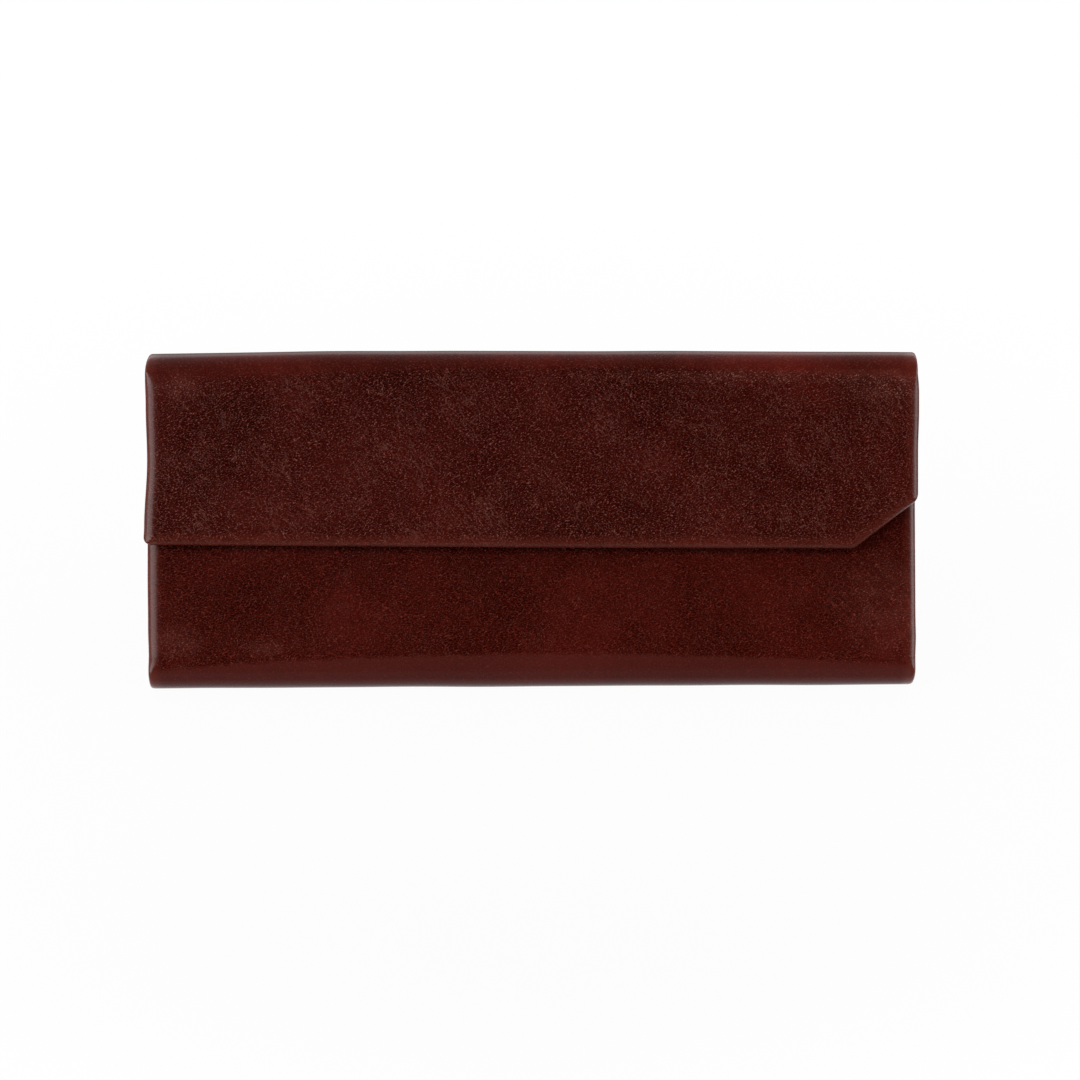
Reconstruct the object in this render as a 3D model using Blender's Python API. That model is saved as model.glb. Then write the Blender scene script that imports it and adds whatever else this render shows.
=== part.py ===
# Folding glasses case: a triangular tube of leather-covered boards that stands on its base.
# One sheet of leather runs from the flap's lower edge over the top, down the lid, under the
# base and up the front wall. X is the case's length, -Y its front, +Z up, and the origin is
# the middle of its underside. All lengths are in metres and all angles in degrees.

import math

import bmesh
import bpy
from mathutils import Matrix, Vector

# Driving sizes of the case
CASE_LENGTH = 0.160
BASE_DEPTH = 0.0561          # the base's flat part, between the two lower folds
FRONT_WALL_HEIGHT = 0.0372   # from the end of the front fold to the wall's top edge
FLAP_OVERLAP = 0.0144        # the flap hangs this far below the front wall's top edge
FLAP_OVERHANG = 0.0007       # the flap is this much longer than the case at each end
FRONT_LEAN = 57.0            # front wall from the base, inside the case
LID_LEAN = 60.0              # lid from the base, inside the case
TOP_ANGLE = 60.0             # flap from the lid, inside the case
FLAP_GAP = 0.0005            # between the front wall and the flap's lining, at the flap's edge

# Outer radii of the soft folds, without board
FRONT_FOLD_RADIUS = 0.0056
REAR_FOLD_RADIUS = 0.0056
TOP_FOLD_RADIUS = 0.0045

# Layers of a panel, from outside to inside, and the space that each keeps to the next
LEATHER = 0.00085
BOARD = 0.0012
TURN_IN = 0.00045            # the leather's skived edge, folded round the board
LINING = 0.0004
GLUE_SPACE = 0.0002
SIDE_SPACE = 0.0003          # beside a board or a lining, in the panel's own plane

# Edges of a panel
EDGE_RADIUS = 0.0012         # of the leather round the board's edge
CORNER_RADIUS = 0.0018
TURN_IN_WIDTH = 0.008
LINING_MARGIN = 0.0018       # the lining ends this far short of the turned edge

# The flap's cut-off corner, along its edge and up its side
FLAP_CHAMFER_LENGTH = 0.0133
FLAP_CHAMFER_HEIGHT = 0.0102
FLAP_CHAMFER_RADIUS = 0.003

# Closing magnets
MAGNET_RADIUS = 0.005
MAGNET_SPACING = 0.090
MAGNET_INSET = 0.0072        # from the flap's edge to a magnet's middle

# Soft end walls
GUSSET_LEATHER = 0.0007
GUSSET_LINING = 0.0004
GUSSET_INSET = 0.003         # from the case's end to the end wall
GUSSET_CREASE_DEPTH = 0.003  # how far its middle crease stands inwards
GUSSET_CORNER = 0.0008       # from the fold's end to the end wall's narrow corner
LID_CLEARANCE = 0.001        # between the end wall and the lid's lining
RIM_DROP = 0.0012            # from the front wall's top edge to the end wall's rim

CORNER_STEPS = 4
EDGE_STEPS = 3
FOLD_STEPS = 14
MAGNET_SIDES = 28
CUT_OVERRUN = 0.002
ON_LINE = 1e-7

PANEL_THICKNESS = LEATHER + BOARD + TURN_IN + LINING + 3 * GLUE_SPACE


def section(angle, reach=1.0):
    """A vector in the case's cross-section: 0 points backwards and 90 points up."""
    turn = math.radians(angle)
    return Vector((0, reach * math.cos(turn), reach * math.sin(turn)))


def keeping_length(radius, turn, flat):
    """Where a fold's pivot lies in from both outer faces, so that the leather keeps its length.

    The fold turns by this angle at rest, and either opens out flat or folds shut.
    """
    half = math.radians(turn) / 2
    if flat:
        return radius * (1 - half / math.tan(half))
    return radius * 2 * half / math.pi


def pivot_of(centre, radius, turn, bisector, flat):
    """A fold's pivot, on the line that halves its corner. The bisector points outwards."""
    inset = keeping_length(radius, turn, flat)
    return centre + section(bisector, (radius - inset) / math.cos(math.radians(turn) / 2))


# The section: the fold centres, then the length of lid and flap that closes the triangle
front_turn = 180 - FRONT_LEAN
rear_turn = 180 - LID_LEAN
top_turn = 180 - TOP_ANGLE
lid_angle = -LID_LEAN
flap_angle = lid_angle + top_turn
lid_outward = section(lid_angle + 90)
flap_outward = section(flap_angle + 90)
front_outward = section(FRONT_LEAN + 90)

underside_depth = FRONT_FOLD_RADIUS + BASE_DEPTH + REAR_FOLD_RADIUS
front_centre = Vector((0, FRONT_FOLD_RADIUS - underside_depth / 2, FRONT_FOLD_RADIUS))
rear_centre = Vector((0, front_centre.y + BASE_DEPTH, REAR_FOLD_RADIUS))

flap_edge_height = FRONT_WALL_HEIGHT - FLAP_OVERLAP
facing_point = (
    front_centre
    + section(FRONT_LEAN, flap_edge_height)
    + FRONT_FOLD_RADIUS * front_outward
)
top_centre_reach = (
    flap_outward.dot(facing_point) + FLAP_GAP + PANEL_THICKNESS - TOP_FOLD_RADIUS
)
lid_foot = rear_centre + (REAR_FOLD_RADIUS - TOP_FOLD_RADIUS) * lid_outward
lid_upwards = -section(lid_angle)
LID_HEIGHT = (top_centre_reach - flap_outward.dot(lid_foot)) / flap_outward.dot(lid_upwards)
top_centre = lid_foot + LID_HEIGHT * lid_upwards
flap_upwards = section(flap_angle)
FLAP_LENGTH = flap_upwards.dot(top_centre - facing_point)
FLAP_WIDTH = CASE_LENGTH + 2 * FLAP_OVERHANG

front_pivot = pivot_of(
    front_centre, FRONT_FOLD_RADIUS, front_turn, 180 + FRONT_LEAN / 2, flat=False
)
lid_pivot = pivot_of(rear_centre, REAR_FOLD_RADIUS, rear_turn, -LID_LEAN / 2, flat=True)
flap_pivot = pivot_of(
    top_centre, TOP_FOLD_RADIUS, top_turn, lid_angle + 90 + top_turn / 2, flat=True
)


# Scene and collections


def clear_scene():
    for old in list(bpy.data.objects):
        bpy.data.objects.remove(old, do_unlink=True)


def new_collection(name):
    group = bpy.data.collections.new(name)
    bpy.context.scene.collection.children.link(group)
    return group


def new_axis(name, place, parent=None):
    """An empty on a joint's axis, which carries what turns with it."""
    axis = bpy.data.objects.new(name, None)
    axis.empty_display_size = FRONT_FOLD_RADIUS
    axis.parent = parent
    axis.location = place - (parent.matrix_world.translation if parent else Vector())
    case.objects.link(axis)
    bpy.context.view_layer.update()
    return axis


def finish(name, colour, roughness, metallic=0.0):
    material = bpy.data.materials.new(name)
    material.use_nodes = True
    shader = material.node_tree.nodes["Principled BSDF"]
    shader.inputs["Base Color"].default_value = (*colour, 1)
    shader.inputs["Roughness"].default_value = roughness
    shader.inputs["Metallic"].default_value = metallic
    return material


def leather_finish(name):
    return finish(name + "_leather", (0.075, 0.012, 0.009), 0.42)


def lining_finish(name):
    return finish(name + "_microfibre", (0.035, 0.012, 0.010), 0.95)


def board_finish(name):
    return finish(name + "_greyboard", (0.30, 0.27, 0.23), 0.9)


def magnet_finish(name):
    return finish(name + "_nickel", (0.66, 0.64, 0.60), 0.3, 1.0)


def add_object(name, bm, frame, axis=None, material=None):
    """A mesh object at a panel's frame, parented to its joint's empty. No material: a cutter."""
    bmesh.ops.recalc_face_normals(bm, faces=bm.faces)
    mesh = bpy.data.meshes.new(name)
    bm.to_mesh(mesh)
    bm.free()
    piece = bpy.data.objects.new(name, mesh)
    piece.parent = axis
    piece.matrix_local = (axis.matrix_world.inverted() if axis else Matrix()) @ frame
    if material:
        mesh.materials.append(material)
        mesh.shade_smooth()
        mesh.set_sharp_from_angle(angle=math.radians(40))
        case.objects.link(piece)
    else:
        piece.hide_render = True
        piece.display_type = "WIRE"
        cutters.objects.link(piece)
    return piece


def apply_boolean(piece, tool, operation):
    step = piece.modifiers.new(tool.name, "BOOLEAN")
    step.object = tool
    step.operation = operation
    step.solver = "EXACT"


# Flat outlines: lists of corners (x, y, radius), anticlockwise, with an edge after each corner


def inset_corners(corners, distances):
    """The outline with each edge moved inwards by its own distance."""
    count = len(corners)
    lines = []
    for i in range(count):
        here, there = Vector(corners[i][:2]), Vector(corners[(i + 1) % count][:2])
        along = (there - here).normalized()
        lines.append((here + distances[i] * Vector((-along.y, along.x)), along))
    moved = []
    for i, (_, _, radius) in enumerate(corners):
        (p, u), (q, v) = lines[i - 1], lines[i]
        reach = (q - p).cross(v) / u.cross(v)
        corner = p + reach * u
        shrink = max(distances[i - 1], distances[i], 0)
        moved.append((corner.x, corner.y, max(radius - shrink, 0)))
    return moved


def outline_points(corners):
    """The outline's points, with each rounded corner as an arc."""
    points, count = [], len(corners)
    for i, (x, y, radius) in enumerate(corners):
        corner = Vector((x, y))
        if radius <= 0:
            points.append(corner)
            continue
        back = (Vector(corners[i - 1][:2]) - corner).normalized()
        ahead = (Vector(corners[(i + 1) % count][:2]) - corner).normalized()
        half = back.angle(ahead) / 2
        centre = corner + (back + ahead).normalized() * (radius / math.sin(half))
        start = corner + back * (radius / math.tan(half)) - centre
        turn = math.pi - 2 * half
        for step in range(CORNER_STEPS + 1):
            points.append(centre + Matrix.Rotation(turn * step / CORNER_STEPS, 2) @ start)
    return points


def slab_mesh(corners, low, high, edge_radius=0, square_edges=()):
    """A flat plate. Its edges are rounded, apart from the ones at a fold."""
    bm = bmesh.new()
    verts = [bm.verts.new((p.x, p.y, low)) for p in outline_points(corners)]
    face = bm.faces.new(verts)
    top = bmesh.ops.extrude_face_region(bm, geom=[face])
    raised = [g for g in top["geom"] if isinstance(g, bmesh.types.BMVert)]
    bmesh.ops.translate(bm, verts=raised, vec=(0, 0, high - low))
    if edge_radius:
        rims = [
            e
            for e in bm.edges
            if abs(e.verts[0].co.z - e.verts[1].co.z) < ON_LINE
            and not any(lies_on(e, corners, i) for i in square_edges)
        ]
        bmesh.ops.bevel(
            bm,
            geom=rims,
            offset=edge_radius,
            offset_type="OFFSET",
            segments=EDGE_STEPS,
            profile=0.5,
            affect="EDGES",
            clamp_overlap=True,
        )
    return bm


def lies_on(edge, corners, index):
    here = Vector(corners[index][:2])
    along = (Vector(corners[(index + 1) % len(corners)][:2]) - here).normalized()
    return all(abs((v.co.xy - here).cross(along)) < ON_LINE for v in edge.verts)


# Panels


class Panel:
    """One stiff side of the case, in its own frame.

    In the frame X is the case's length, Y runs up the leather sheet from the flap's edge
    towards the front wall's top, and Z points out of the case, with 0 on the outer face.
    fold_edges are the outline's edges where the leather goes on into a fold.
    """

    def __init__(self, name, corners, fold_edges, start, angle, axis=None):
        self.name = name
        self.corners = corners
        self.fold_edges = fold_edges
        self.axis = axis
        self.frame = Matrix.Translation(start) @ Matrix.Rotation(math.radians(angle), 4, "X")

    def inset(self, at_edge, at_fold):
        distances = [at_fold if i in self.fold_edges else at_edge for i in range(len(self.corners))]
        return inset_corners(self.corners, distances)

    def add(self, part, bm, material=None):
        return add_object(f"{self.name}_{part}", bm, self.frame, self.axis, material)

    def cut(self, piece, part, corners, low, high):
        apply_boolean(piece, self.add(part, slab_mesh(corners, low, high)), "DIFFERENCE")


board_top = -LEATHER - GLUE_SPACE
board_under = board_top - BOARD
turn_in_top = board_under - GLUE_SPACE
turn_in_under = turn_in_top - TURN_IN
lining_top = turn_in_under - GLUE_SPACE
lining_under = lining_top - LINING


def add_leather(panel):
    """The outer leather, turned round the board's free edges and open inside the turned strip."""
    skin = panel.add(
        "leather",
        slab_mesh(
            panel.inset(0, GLUE_SPACE), turn_in_under, 0, EDGE_RADIUS, panel.fold_edges
        ),
        leather_finish(panel.name),
    )
    panel.cut(
        skin, "board_pocket", panel.inset(LEATHER, -CUT_OVERRUN), turn_in_top, -LEATHER
    )
    panel.cut(
        skin,
        "turn_in_window",
        panel.inset(TURN_IN_WIDTH, -CUT_OVERRUN),
        turn_in_under - CUT_OVERRUN,
        (board_top + board_under) / 2,
    )


def add_board(panel, magnets=()):
    board = panel.add(
        "board",
        slab_mesh(panel.inset(LEATHER + SIDE_SPACE, SIDE_SPACE), board_under, board_top),
        board_finish(panel.name),
    )
    for side, place in magnets:
        hole = disc_mesh(place, MAGNET_RADIUS + SIDE_SPACE, BOARD + 2 * CUT_OVERRUN)
        apply_boolean(board, panel.add(f"magnet_hole_{side}", hole), "DIFFERENCE")
        magnet = disc_mesh(place, MAGNET_RADIUS, BOARD)
        panel.add(f"magnet_{side}", magnet, magnet_finish(f"{panel.name}_{side}"))


def disc_mesh(place, radius, thickness):
    bm = bmesh.new()
    bmesh.ops.create_cone(
        bm,
        cap_ends=True,
        segments=MAGNET_SIDES,
        radius1=radius,
        radius2=radius,
        depth=thickness,
        matrix=Matrix.Translation((*place, (board_top + board_under) / 2)),
    )
    return bm


def add_lining(panel):
    """The lining: a thin sheet over the turned edge, thicker where it comes down to the board."""
    lining = panel.add(
        "lining",
        slab_mesh(panel.inset(LINING_MARGIN, GLUE_SPACE), lining_under, lining_top),
        lining_finish(panel.name),
    )
    field = panel.add(
        "lining_field",
        slab_mesh(
            panel.inset(TURN_IN_WIDTH + SIDE_SPACE, GLUE_SPACE + SIDE_SPACE),
            (lining_top + lining_under) / 2,
            turn_in_top,
        ),
    )
    apply_boolean(lining, field, "UNION")


# Folds


def arc_points(centre, radius, start, turn, steps):
    return [centre + section(start + turn * i / steps, radius) for i in range(steps + 1)]


def bar_mesh(points, length):
    """A profile in the case's cross-section, drawn out along the case."""
    bm = bmesh.new()
    face = bm.faces.new([bm.verts.new((-length / 2, p.y, p.z)) for p in points])
    far = bmesh.ops.extrude_face_region(bm, geom=[face])
    moved = [g for g in far["geom"] if isinstance(g, bmesh.types.BMVert)]
    bmesh.ops.translate(bm, verts=moved, vec=(length, 0, 0))
    return bm


def add_fold(name, centre, radius, start, turn, length, axis=None):
    """The soft strip between two boards: leather outside, and lining pressed down to it."""
    outer = arc_points(centre, radius, start, turn, FOLD_STEPS)
    inner = arc_points(centre, radius - LEATHER, start, turn, FOLD_STEPS)
    add_object(
        f"{name}_fold_leather",
        bar_mesh(outer + inner[::-1], length),
        Matrix(),
        axis,
        leather_finish(f"{name}_fold"),
    )
    under = radius - LEATHER - GLUE_SPACE
    over = under - LINING
    rim = radius - PANEL_THICKNESS
    step_aside = math.degrees(math.asin(LINING / over))
    gutter = arc_points(centre, under, start, turn, FOLD_STEPS)
    gutter.append(centre + section(start + turn, rim))
    gutter.append(gutter[-1] + section(start + turn - 90, LINING))
    gutter += arc_points(centre, over, start + turn - step_aside, 2 * step_aside - turn, FOLD_STEPS)
    gutter.append(centre + section(start, rim) + section(start + 90, LINING))
    gutter.append(centre + section(start, rim))
    add_object(
        f"{name}_fold_lining",
        bar_mesh(gutter, length - 2 * LINING_MARGIN),
        Matrix(),
        axis,
        lining_finish(f"{name}_fold"),
    )


# End walls


def add_gusset(side, direction):
    """One soft end wall: two flat halves with a crease between base and front wall.

    It is glued along the base and the front wall, and stands free under the lid.
    """
    base_lift = section(90, PANEL_THICKNESS + SIDE_SPACE)
    wall_inwards = -front_outward
    on_base = Vector((0, front_centre.y, 0)) + base_lift
    on_wall = (
        front_centre
        + (FRONT_FOLD_RADIUS - PANEL_THICKNESS - SIDE_SPACE) * front_outward
    )
    lid_limit = lid_outward.dot(rear_centre) + REAR_FOLD_RADIUS - PANEL_THICKNESS - LID_CLEARANCE

    def meet_lid(start, heading):
        return start + heading * ((lid_limit - lid_outward.dot(start)) / lid_outward.dot(heading))

    backwards = section(0)
    crease = section(FRONT_LEAN / 2)
    near_base = on_base + GUSSET_CORNER * backwards
    near_wall = on_wall + section(FRONT_LEAN, GUSSET_CORNER)
    rim_front = on_wall + section(FRONT_LEAN, FRONT_WALL_HEIGHT - RIM_DROP)
    crease_start = front_centre + GUSSET_CORNER * crease
    crease_end = meet_lid(front_centre, crease)
    lower_back = meet_lid(near_base, backwards)
    rim_back = meet_lid(rim_front, backwards)

    slope = GUSSET_CREASE_DEPTH / (crease_end - on_base).dot(section(90))

    def sheet(part, outer, thickness, material):
        """Both halves, each leaning inwards by its distance from the side it is glued to."""

        def place(point, foot, inwards):
            lean = slope * max((point - foot).dot(inwards), 0)
            return Vector((direction * (outer - lean), point.y, point.z))

        bm = bmesh.new()
        middle = [
            bm.verts.new(place(p, on_base, section(90))) for p in (crease_start, crease_end)
        ]
        lower = [bm.verts.new(place(p, on_base, section(90))) for p in (lower_back, near_base)]
        upper = [
            bm.verts.new(place(p, on_wall, wall_inwards))
            for p in (rim_back, rim_front, near_wall)
        ]
        halves = [bm.faces.new(middle + lower), bm.faces.new(middle + upper)]
        far = bmesh.ops.extrude_face_region(bm, geom=halves)
        moved = [g for g in far["geom"] if isinstance(g, bmesh.types.BMVert)]
        bmesh.ops.translate(bm, verts=moved, vec=(-direction * thickness, 0, 0))
        add_object(f"gusset_{part}_{side}", bm, Matrix(), None, material)

    leather_at = CASE_LENGTH / 2 - GUSSET_INSET
    lining_at = leather_at - GUSSET_LEATHER - GLUE_SPACE
    sheet("leather", leather_at, GUSSET_LEATHER, leather_finish(f"gusset_{side}"))
    sheet("lining", lining_at, GUSSET_LINING, lining_finish(f"gusset_{side}"))


# The case

clear_scene()
case = new_collection("glasses_case")
cutters = new_collection("cutters")
cutters.hide_render = True

front_axis = new_axis("front_fold_axis", front_pivot)
lid_axis = new_axis("lid_hinge_axis", lid_pivot)
flap_axis = new_axis("flap_hinge_axis", flap_pivot, lid_axis)

half = CASE_LENGTH / 2
flap_half = FLAP_WIDTH / 2
base = Panel(
    "base",
    [(-half, 0, 0), (half, 0, 0), (half, BASE_DEPTH, 0), (-half, BASE_DEPTH, 0)],
    (0, 2),
    rear_centre + section(-90, REAR_FOLD_RADIUS),
    180,
)
lid = Panel(
    "lid",
    [(-half, 0, 0), (half, 0, 0), (half, LID_HEIGHT, 0), (-half, LID_HEIGHT, 0)],
    (0, 2),
    top_centre + TOP_FOLD_RADIUS * lid_outward,
    lid_angle,
    lid_axis,
)
front_wall = Panel(
    "front_wall",
    [
        (-half, 0, 0),
        (half, 0, 0),
        (half, FRONT_WALL_HEIGHT, CORNER_RADIUS),
        (-half, FRONT_WALL_HEIGHT, CORNER_RADIUS),
    ],
    (0,),
    front_centre + FRONT_FOLD_RADIUS * front_outward,
    FRONT_LEAN,
    front_axis,
)
flap = Panel(
    "flap",
    [
        (-flap_half, 0, CORNER_RADIUS),
        (flap_half - FLAP_CHAMFER_LENGTH, 0, FLAP_CHAMFER_RADIUS),
        (flap_half, FLAP_CHAMFER_HEIGHT, FLAP_CHAMFER_RADIUS),
        (flap_half, FLAP_LENGTH, 0),
        (-flap_half, FLAP_LENGTH, 0),
    ],
    (3,),
    top_centre + TOP_FOLD_RADIUS * flap_outward - FLAP_LENGTH * flap_upwards,
    flap_angle,
    flap_axis,
)

magnet_sides = (("left", -MAGNET_SPACING / 2), ("right", MAGNET_SPACING / 2))
flap_magnets = [(side, (x, MAGNET_INSET)) for side, x in magnet_sides]
wall_magnets = [(side, (x, flap_edge_height + MAGNET_INSET)) for side, x in magnet_sides]

for panel, magnets in (
    (base, ()),
    (lid, ()),
    (front_wall, wall_magnets),
    (flap, flap_magnets),
):
    add_leather(panel)
    add_board(panel, magnets)
    add_lining(panel)

add_fold(
    "front", front_centre, FRONT_FOLD_RADIUS, FRONT_LEAN + 90, front_turn, CASE_LENGTH
)
add_fold("rear", rear_centre, REAR_FOLD_RADIUS, -90, rear_turn, CASE_LENGTH)
add_fold(
    "top", top_centre, TOP_FOLD_RADIUS, lid_angle + 90, top_turn, FLAP_WIDTH, lid_axis
)

add_gusset("left", -1)
add_gusset("right", 1)
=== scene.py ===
import math

import bmesh
import bpy
import numpy as np
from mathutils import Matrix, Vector


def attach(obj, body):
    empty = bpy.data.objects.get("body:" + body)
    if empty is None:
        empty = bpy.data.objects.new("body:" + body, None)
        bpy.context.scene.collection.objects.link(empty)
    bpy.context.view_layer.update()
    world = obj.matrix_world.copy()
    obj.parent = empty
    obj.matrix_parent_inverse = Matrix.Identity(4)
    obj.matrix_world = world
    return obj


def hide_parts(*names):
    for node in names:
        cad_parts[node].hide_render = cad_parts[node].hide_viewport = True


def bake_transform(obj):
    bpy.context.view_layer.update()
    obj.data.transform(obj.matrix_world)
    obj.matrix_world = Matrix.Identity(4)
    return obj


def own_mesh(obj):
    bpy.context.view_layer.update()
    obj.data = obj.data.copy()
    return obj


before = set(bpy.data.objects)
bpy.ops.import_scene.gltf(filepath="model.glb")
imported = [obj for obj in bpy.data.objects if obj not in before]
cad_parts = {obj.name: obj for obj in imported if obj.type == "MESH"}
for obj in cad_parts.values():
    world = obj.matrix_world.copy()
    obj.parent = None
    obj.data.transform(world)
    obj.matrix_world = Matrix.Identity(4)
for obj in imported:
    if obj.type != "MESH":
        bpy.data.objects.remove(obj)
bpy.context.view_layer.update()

# Folding glasses case in dark red calf leather over greyboard, closed by a magnetic flap.
# Lengths here are in mm and become metres when a mesh is made. X runs along the case, -Y is its front.
mm = 0.001

caseSizes = {
    "length": 160.0,
    "baseDepth": 56.1,  # the flat part between the two lower folds
    "frontWallHeight": 37.2,
    "flapOverlap": 14.4,  # the flap hangs this far below the front wall's top
    "flapOverhang": 0.7,
    "frontLean": 57.0,  # degrees from the base, inside the case
    "lidLean": 60.0,
    "topAngle": 60.0,
    "flapGap": 0.5,
    "frontRadius": 5.6,
    "rearRadius": 5.6,
    "topRadius": 4.5,
    "foldSoftness": 0.4,  # 0 is a true arc, 1 eases fully into and out of the fold
}

layerSizes = {
    "leather": 0.85,
    "turnIn": 0.45,  # the skived edge, folded round the board
    "underTurnIn": 2.9,  # depth of the panel without its lining
    "panel": 3.5,
    "fold": 1.6,  # leather and turned edge without a board
}


def inSection(angle, reach=1.0):
    # a vector in the case's cross-section: 0 points backwards and 90 points up
    turn = math.radians(angle)
    return np.array([reach * math.cos(turn), reach * math.sin(turn)])


def smooth(t):
    t = np.clip(t, 0, 1)
    return t * t * (3 - 2 * t)


# The section of the case, worked out from the driving sizes

frontTurn = 180 - caseSizes["frontLean"]
rearTurn = 180 - caseSizes["lidLean"]
topTurn = 180 - caseSizes["topAngle"]
lidNormal = 90 - caseSizes["lidLean"]
flapNormal = lidNormal + topTurn
wallNormal = caseSizes["frontLean"] + 90

halfDepth = (caseSizes["frontRadius"] + caseSizes["baseDepth"] + caseSizes["rearRadius"]) / 2
frontCentre = np.array([caseSizes["frontRadius"] - halfDepth, caseSizes["frontRadius"]])
rearCentre = np.array([frontCentre[0] + caseSizes["baseDepth"], caseSizes["rearRadius"]])
facingPoint = (
    frontCentre
    + inSection(caseSizes["frontLean"], caseSizes["frontWallHeight"] - caseSizes["flapOverlap"])
    + inSection(wallNormal, caseSizes["frontRadius"])
)
topReach = (
    inSection(flapNormal) @ facingPoint
    + caseSizes["flapGap"]
    + layerSizes["panel"]
    - caseSizes["topRadius"]
)
lidFoot = rearCentre + inSection(lidNormal, caseSizes["rearRadius"] - caseSizes["topRadius"])
lidUp = inSection(lidNormal + 90)
lidHeight = (topReach - inSection(flapNormal) @ lidFoot) / (inSection(flapNormal) @ lidUp)
topCentre = lidFoot + lidHeight * lidUp
flapLength = inSection(flapNormal - 90) @ (topCentre - facingPoint)
flapWidth = caseSizes["length"] + 2 * caseSizes["flapOverhang"]


# The unrolled leather sheet: v runs from the flap's lower edge over the top, down the lid,
# under the base and up the front wall. Each row of the table is v, y, z and the normal's angle.


foldRowCount = 121


def foldRows(startV, start, end, startAngle, turn):
    share = np.linspace(0, 1, foldRowCount)
    eased = share + caseSizes["foldSoftness"] * (smooth(share) - share)
    angle = startAngle - turn * eased
    heading = np.radians(angle - 90)
    steps = np.stack([np.cos(heading), np.sin(heading)], 1)
    walked = np.vstack([[0, 0], np.cumsum((steps[1:] + steps[:-1]) / 2, 0)]) / (len(share) - 1)
    length = np.linalg.norm(end - start) / np.linalg.norm(walked[-1])
    place = start + walked * length
    return np.column_stack([startV + share * length, place, angle])


def panelRows(startV, start, length, normal):
    end = start + inSection(normal - 90, length)
    return np.array([[startV, *start, normal], [startV + length, *end, normal]])


flapRows = panelRows(
    0,
    topCentre + inSection(flapNormal, caseSizes["topRadius"]) - inSection(flapNormal - 90, flapLength),
    flapLength,
    flapNormal,
)
lidStart = topCentre + inSection(lidNormal, caseSizes["topRadius"])
topRows = foldRows(flapLength, flapRows[-1, 1:3], lidStart, flapNormal, topTurn)
lidRows = panelRows(topRows[-1, 0], lidStart, lidHeight, lidNormal)
baseStart = rearCentre + inSection(-90, caseSizes["rearRadius"])
rearRows = foldRows(lidRows[-1, 0], lidRows[-1, 1:3], baseStart, lidNormal, rearTurn)
baseRows = panelRows(rearRows[-1, 0], baseStart, caseSizes["baseDepth"], -90)
wallStart = frontCentre + inSection(wallNormal, caseSizes["frontRadius"])
frontRows = foldRows(baseRows[-1, 0], baseRows[-1, 1:3], wallStart, -90, frontTurn)
wallRows = panelRows(frontRows[-1, 0], wallStart, caseSizes["frontWallHeight"], wallNormal - 360)

spans = {
    "flap": (0.0, flapLength),
    "topFold": (topRows[0, 0], topRows[-1, 0]),
    "lid": (lidRows[0, 0], lidRows[-1, 0]),
    "rearFold": (rearRows[0, 0], rearRows[-1, 0]),
    "base": (baseRows[0, 0], baseRows[-1, 0]),
    "frontFold": (frontRows[0, 0], frontRows[-1, 0]),
    "frontWall": (wallRows[0, 0], wallRows[-1, 0]),
}
sheetEnd = 10.0  # the table goes on this far past both ends
before = panelRows(-sheetEnd, flapRows[0, 1:3] - inSection(flapNormal - 90, sheetEnd), sheetEnd, flapNormal)
after = panelRows(wallRows[-1, 0], wallRows[-1, 1:3], sheetEnd, wallNormal - 360)
sheetTable = np.vstack(
    [before[:1], flapRows, topRows[1:], lidRows[1:], rearRows[1:], baseRows[1:], frontRows[1:]]
    + [wallRows[1:], after[1:]]
)

# Small departures of the real case from straight lines, in mm. The first four go outwards from the
# ends, as pairs of a place along the sheet and a height.
edgeShape = {
    "left": ((0.0, 0.35), (4.0, 0.19), (18.0, -0.38), (30.0, -0.10), (36.0, 0.04)),
    "right": ((8.0, 0.1), (20.0, 0.1), (29.0, 0.3), (36.0, 0.3)),
    "wallLeft": ((0.0, 0.17), (6.0, 0.35), (18.0, 0.49), (37.2, 0.53)),
    "wallRight": ((0.0, 0.47), (4.0, 0.60), (9.0, 0.52), (37.2, 0.47)),
    "flapFade": 3.0,  # the flap's end shape fades over this before the top fold
    "wallStart": 9.0,  # the wall's starts this far before it, and fades in over wallFade
    "wallFade": 6.0,
    "waveHeight": 0.12,  # of the ends in between
    "waveLength": 47.0,
    "waveStart": 1.3,  # radians
    "reach": 14.0,  # how far in from the edge the shape fades
    "flapEdgeLeft": 0.55,  # the flap's lower edge stands this much up at the left
    "flapEdgeRight": -0.22,
    "flapEdgeReach": 22.0,
    "topLeft": (-0.90, 0.34, 2.0),  # the top fold is flatter at its ends: height there, the share of
    "topRight": (-0.28, 0.10, 1.5),  # half its length at which that starts, and its power
    "frontTilt": -0.0061,  # the front fold is fuller at the left
    "frontSwell": 0.38,
    "unevenness": 0.07,  # of the faces
    "swells": ((61, 83, 0.13), (37, -46, 0.41), (23, 19, 0.77)),  # lengths along both ways, and start
    "dimples": (0.6, 31),  # share of the last swell, and its own length along the sheet
}
fullTurn = 2 * np.pi


def throughPoints(v, points):
    # a soft line through (place, value) pairs
    places = np.array([p for p, _ in points])
    values = np.array([q for _, q in points])
    i = np.clip(np.searchsorted(places, v) - 1, 0, len(places) - 2)
    t = smooth((v - places[i]) / (places[i + 1] - places[i]))
    return values[i] + (values[i + 1] - values[i]) * t


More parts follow.
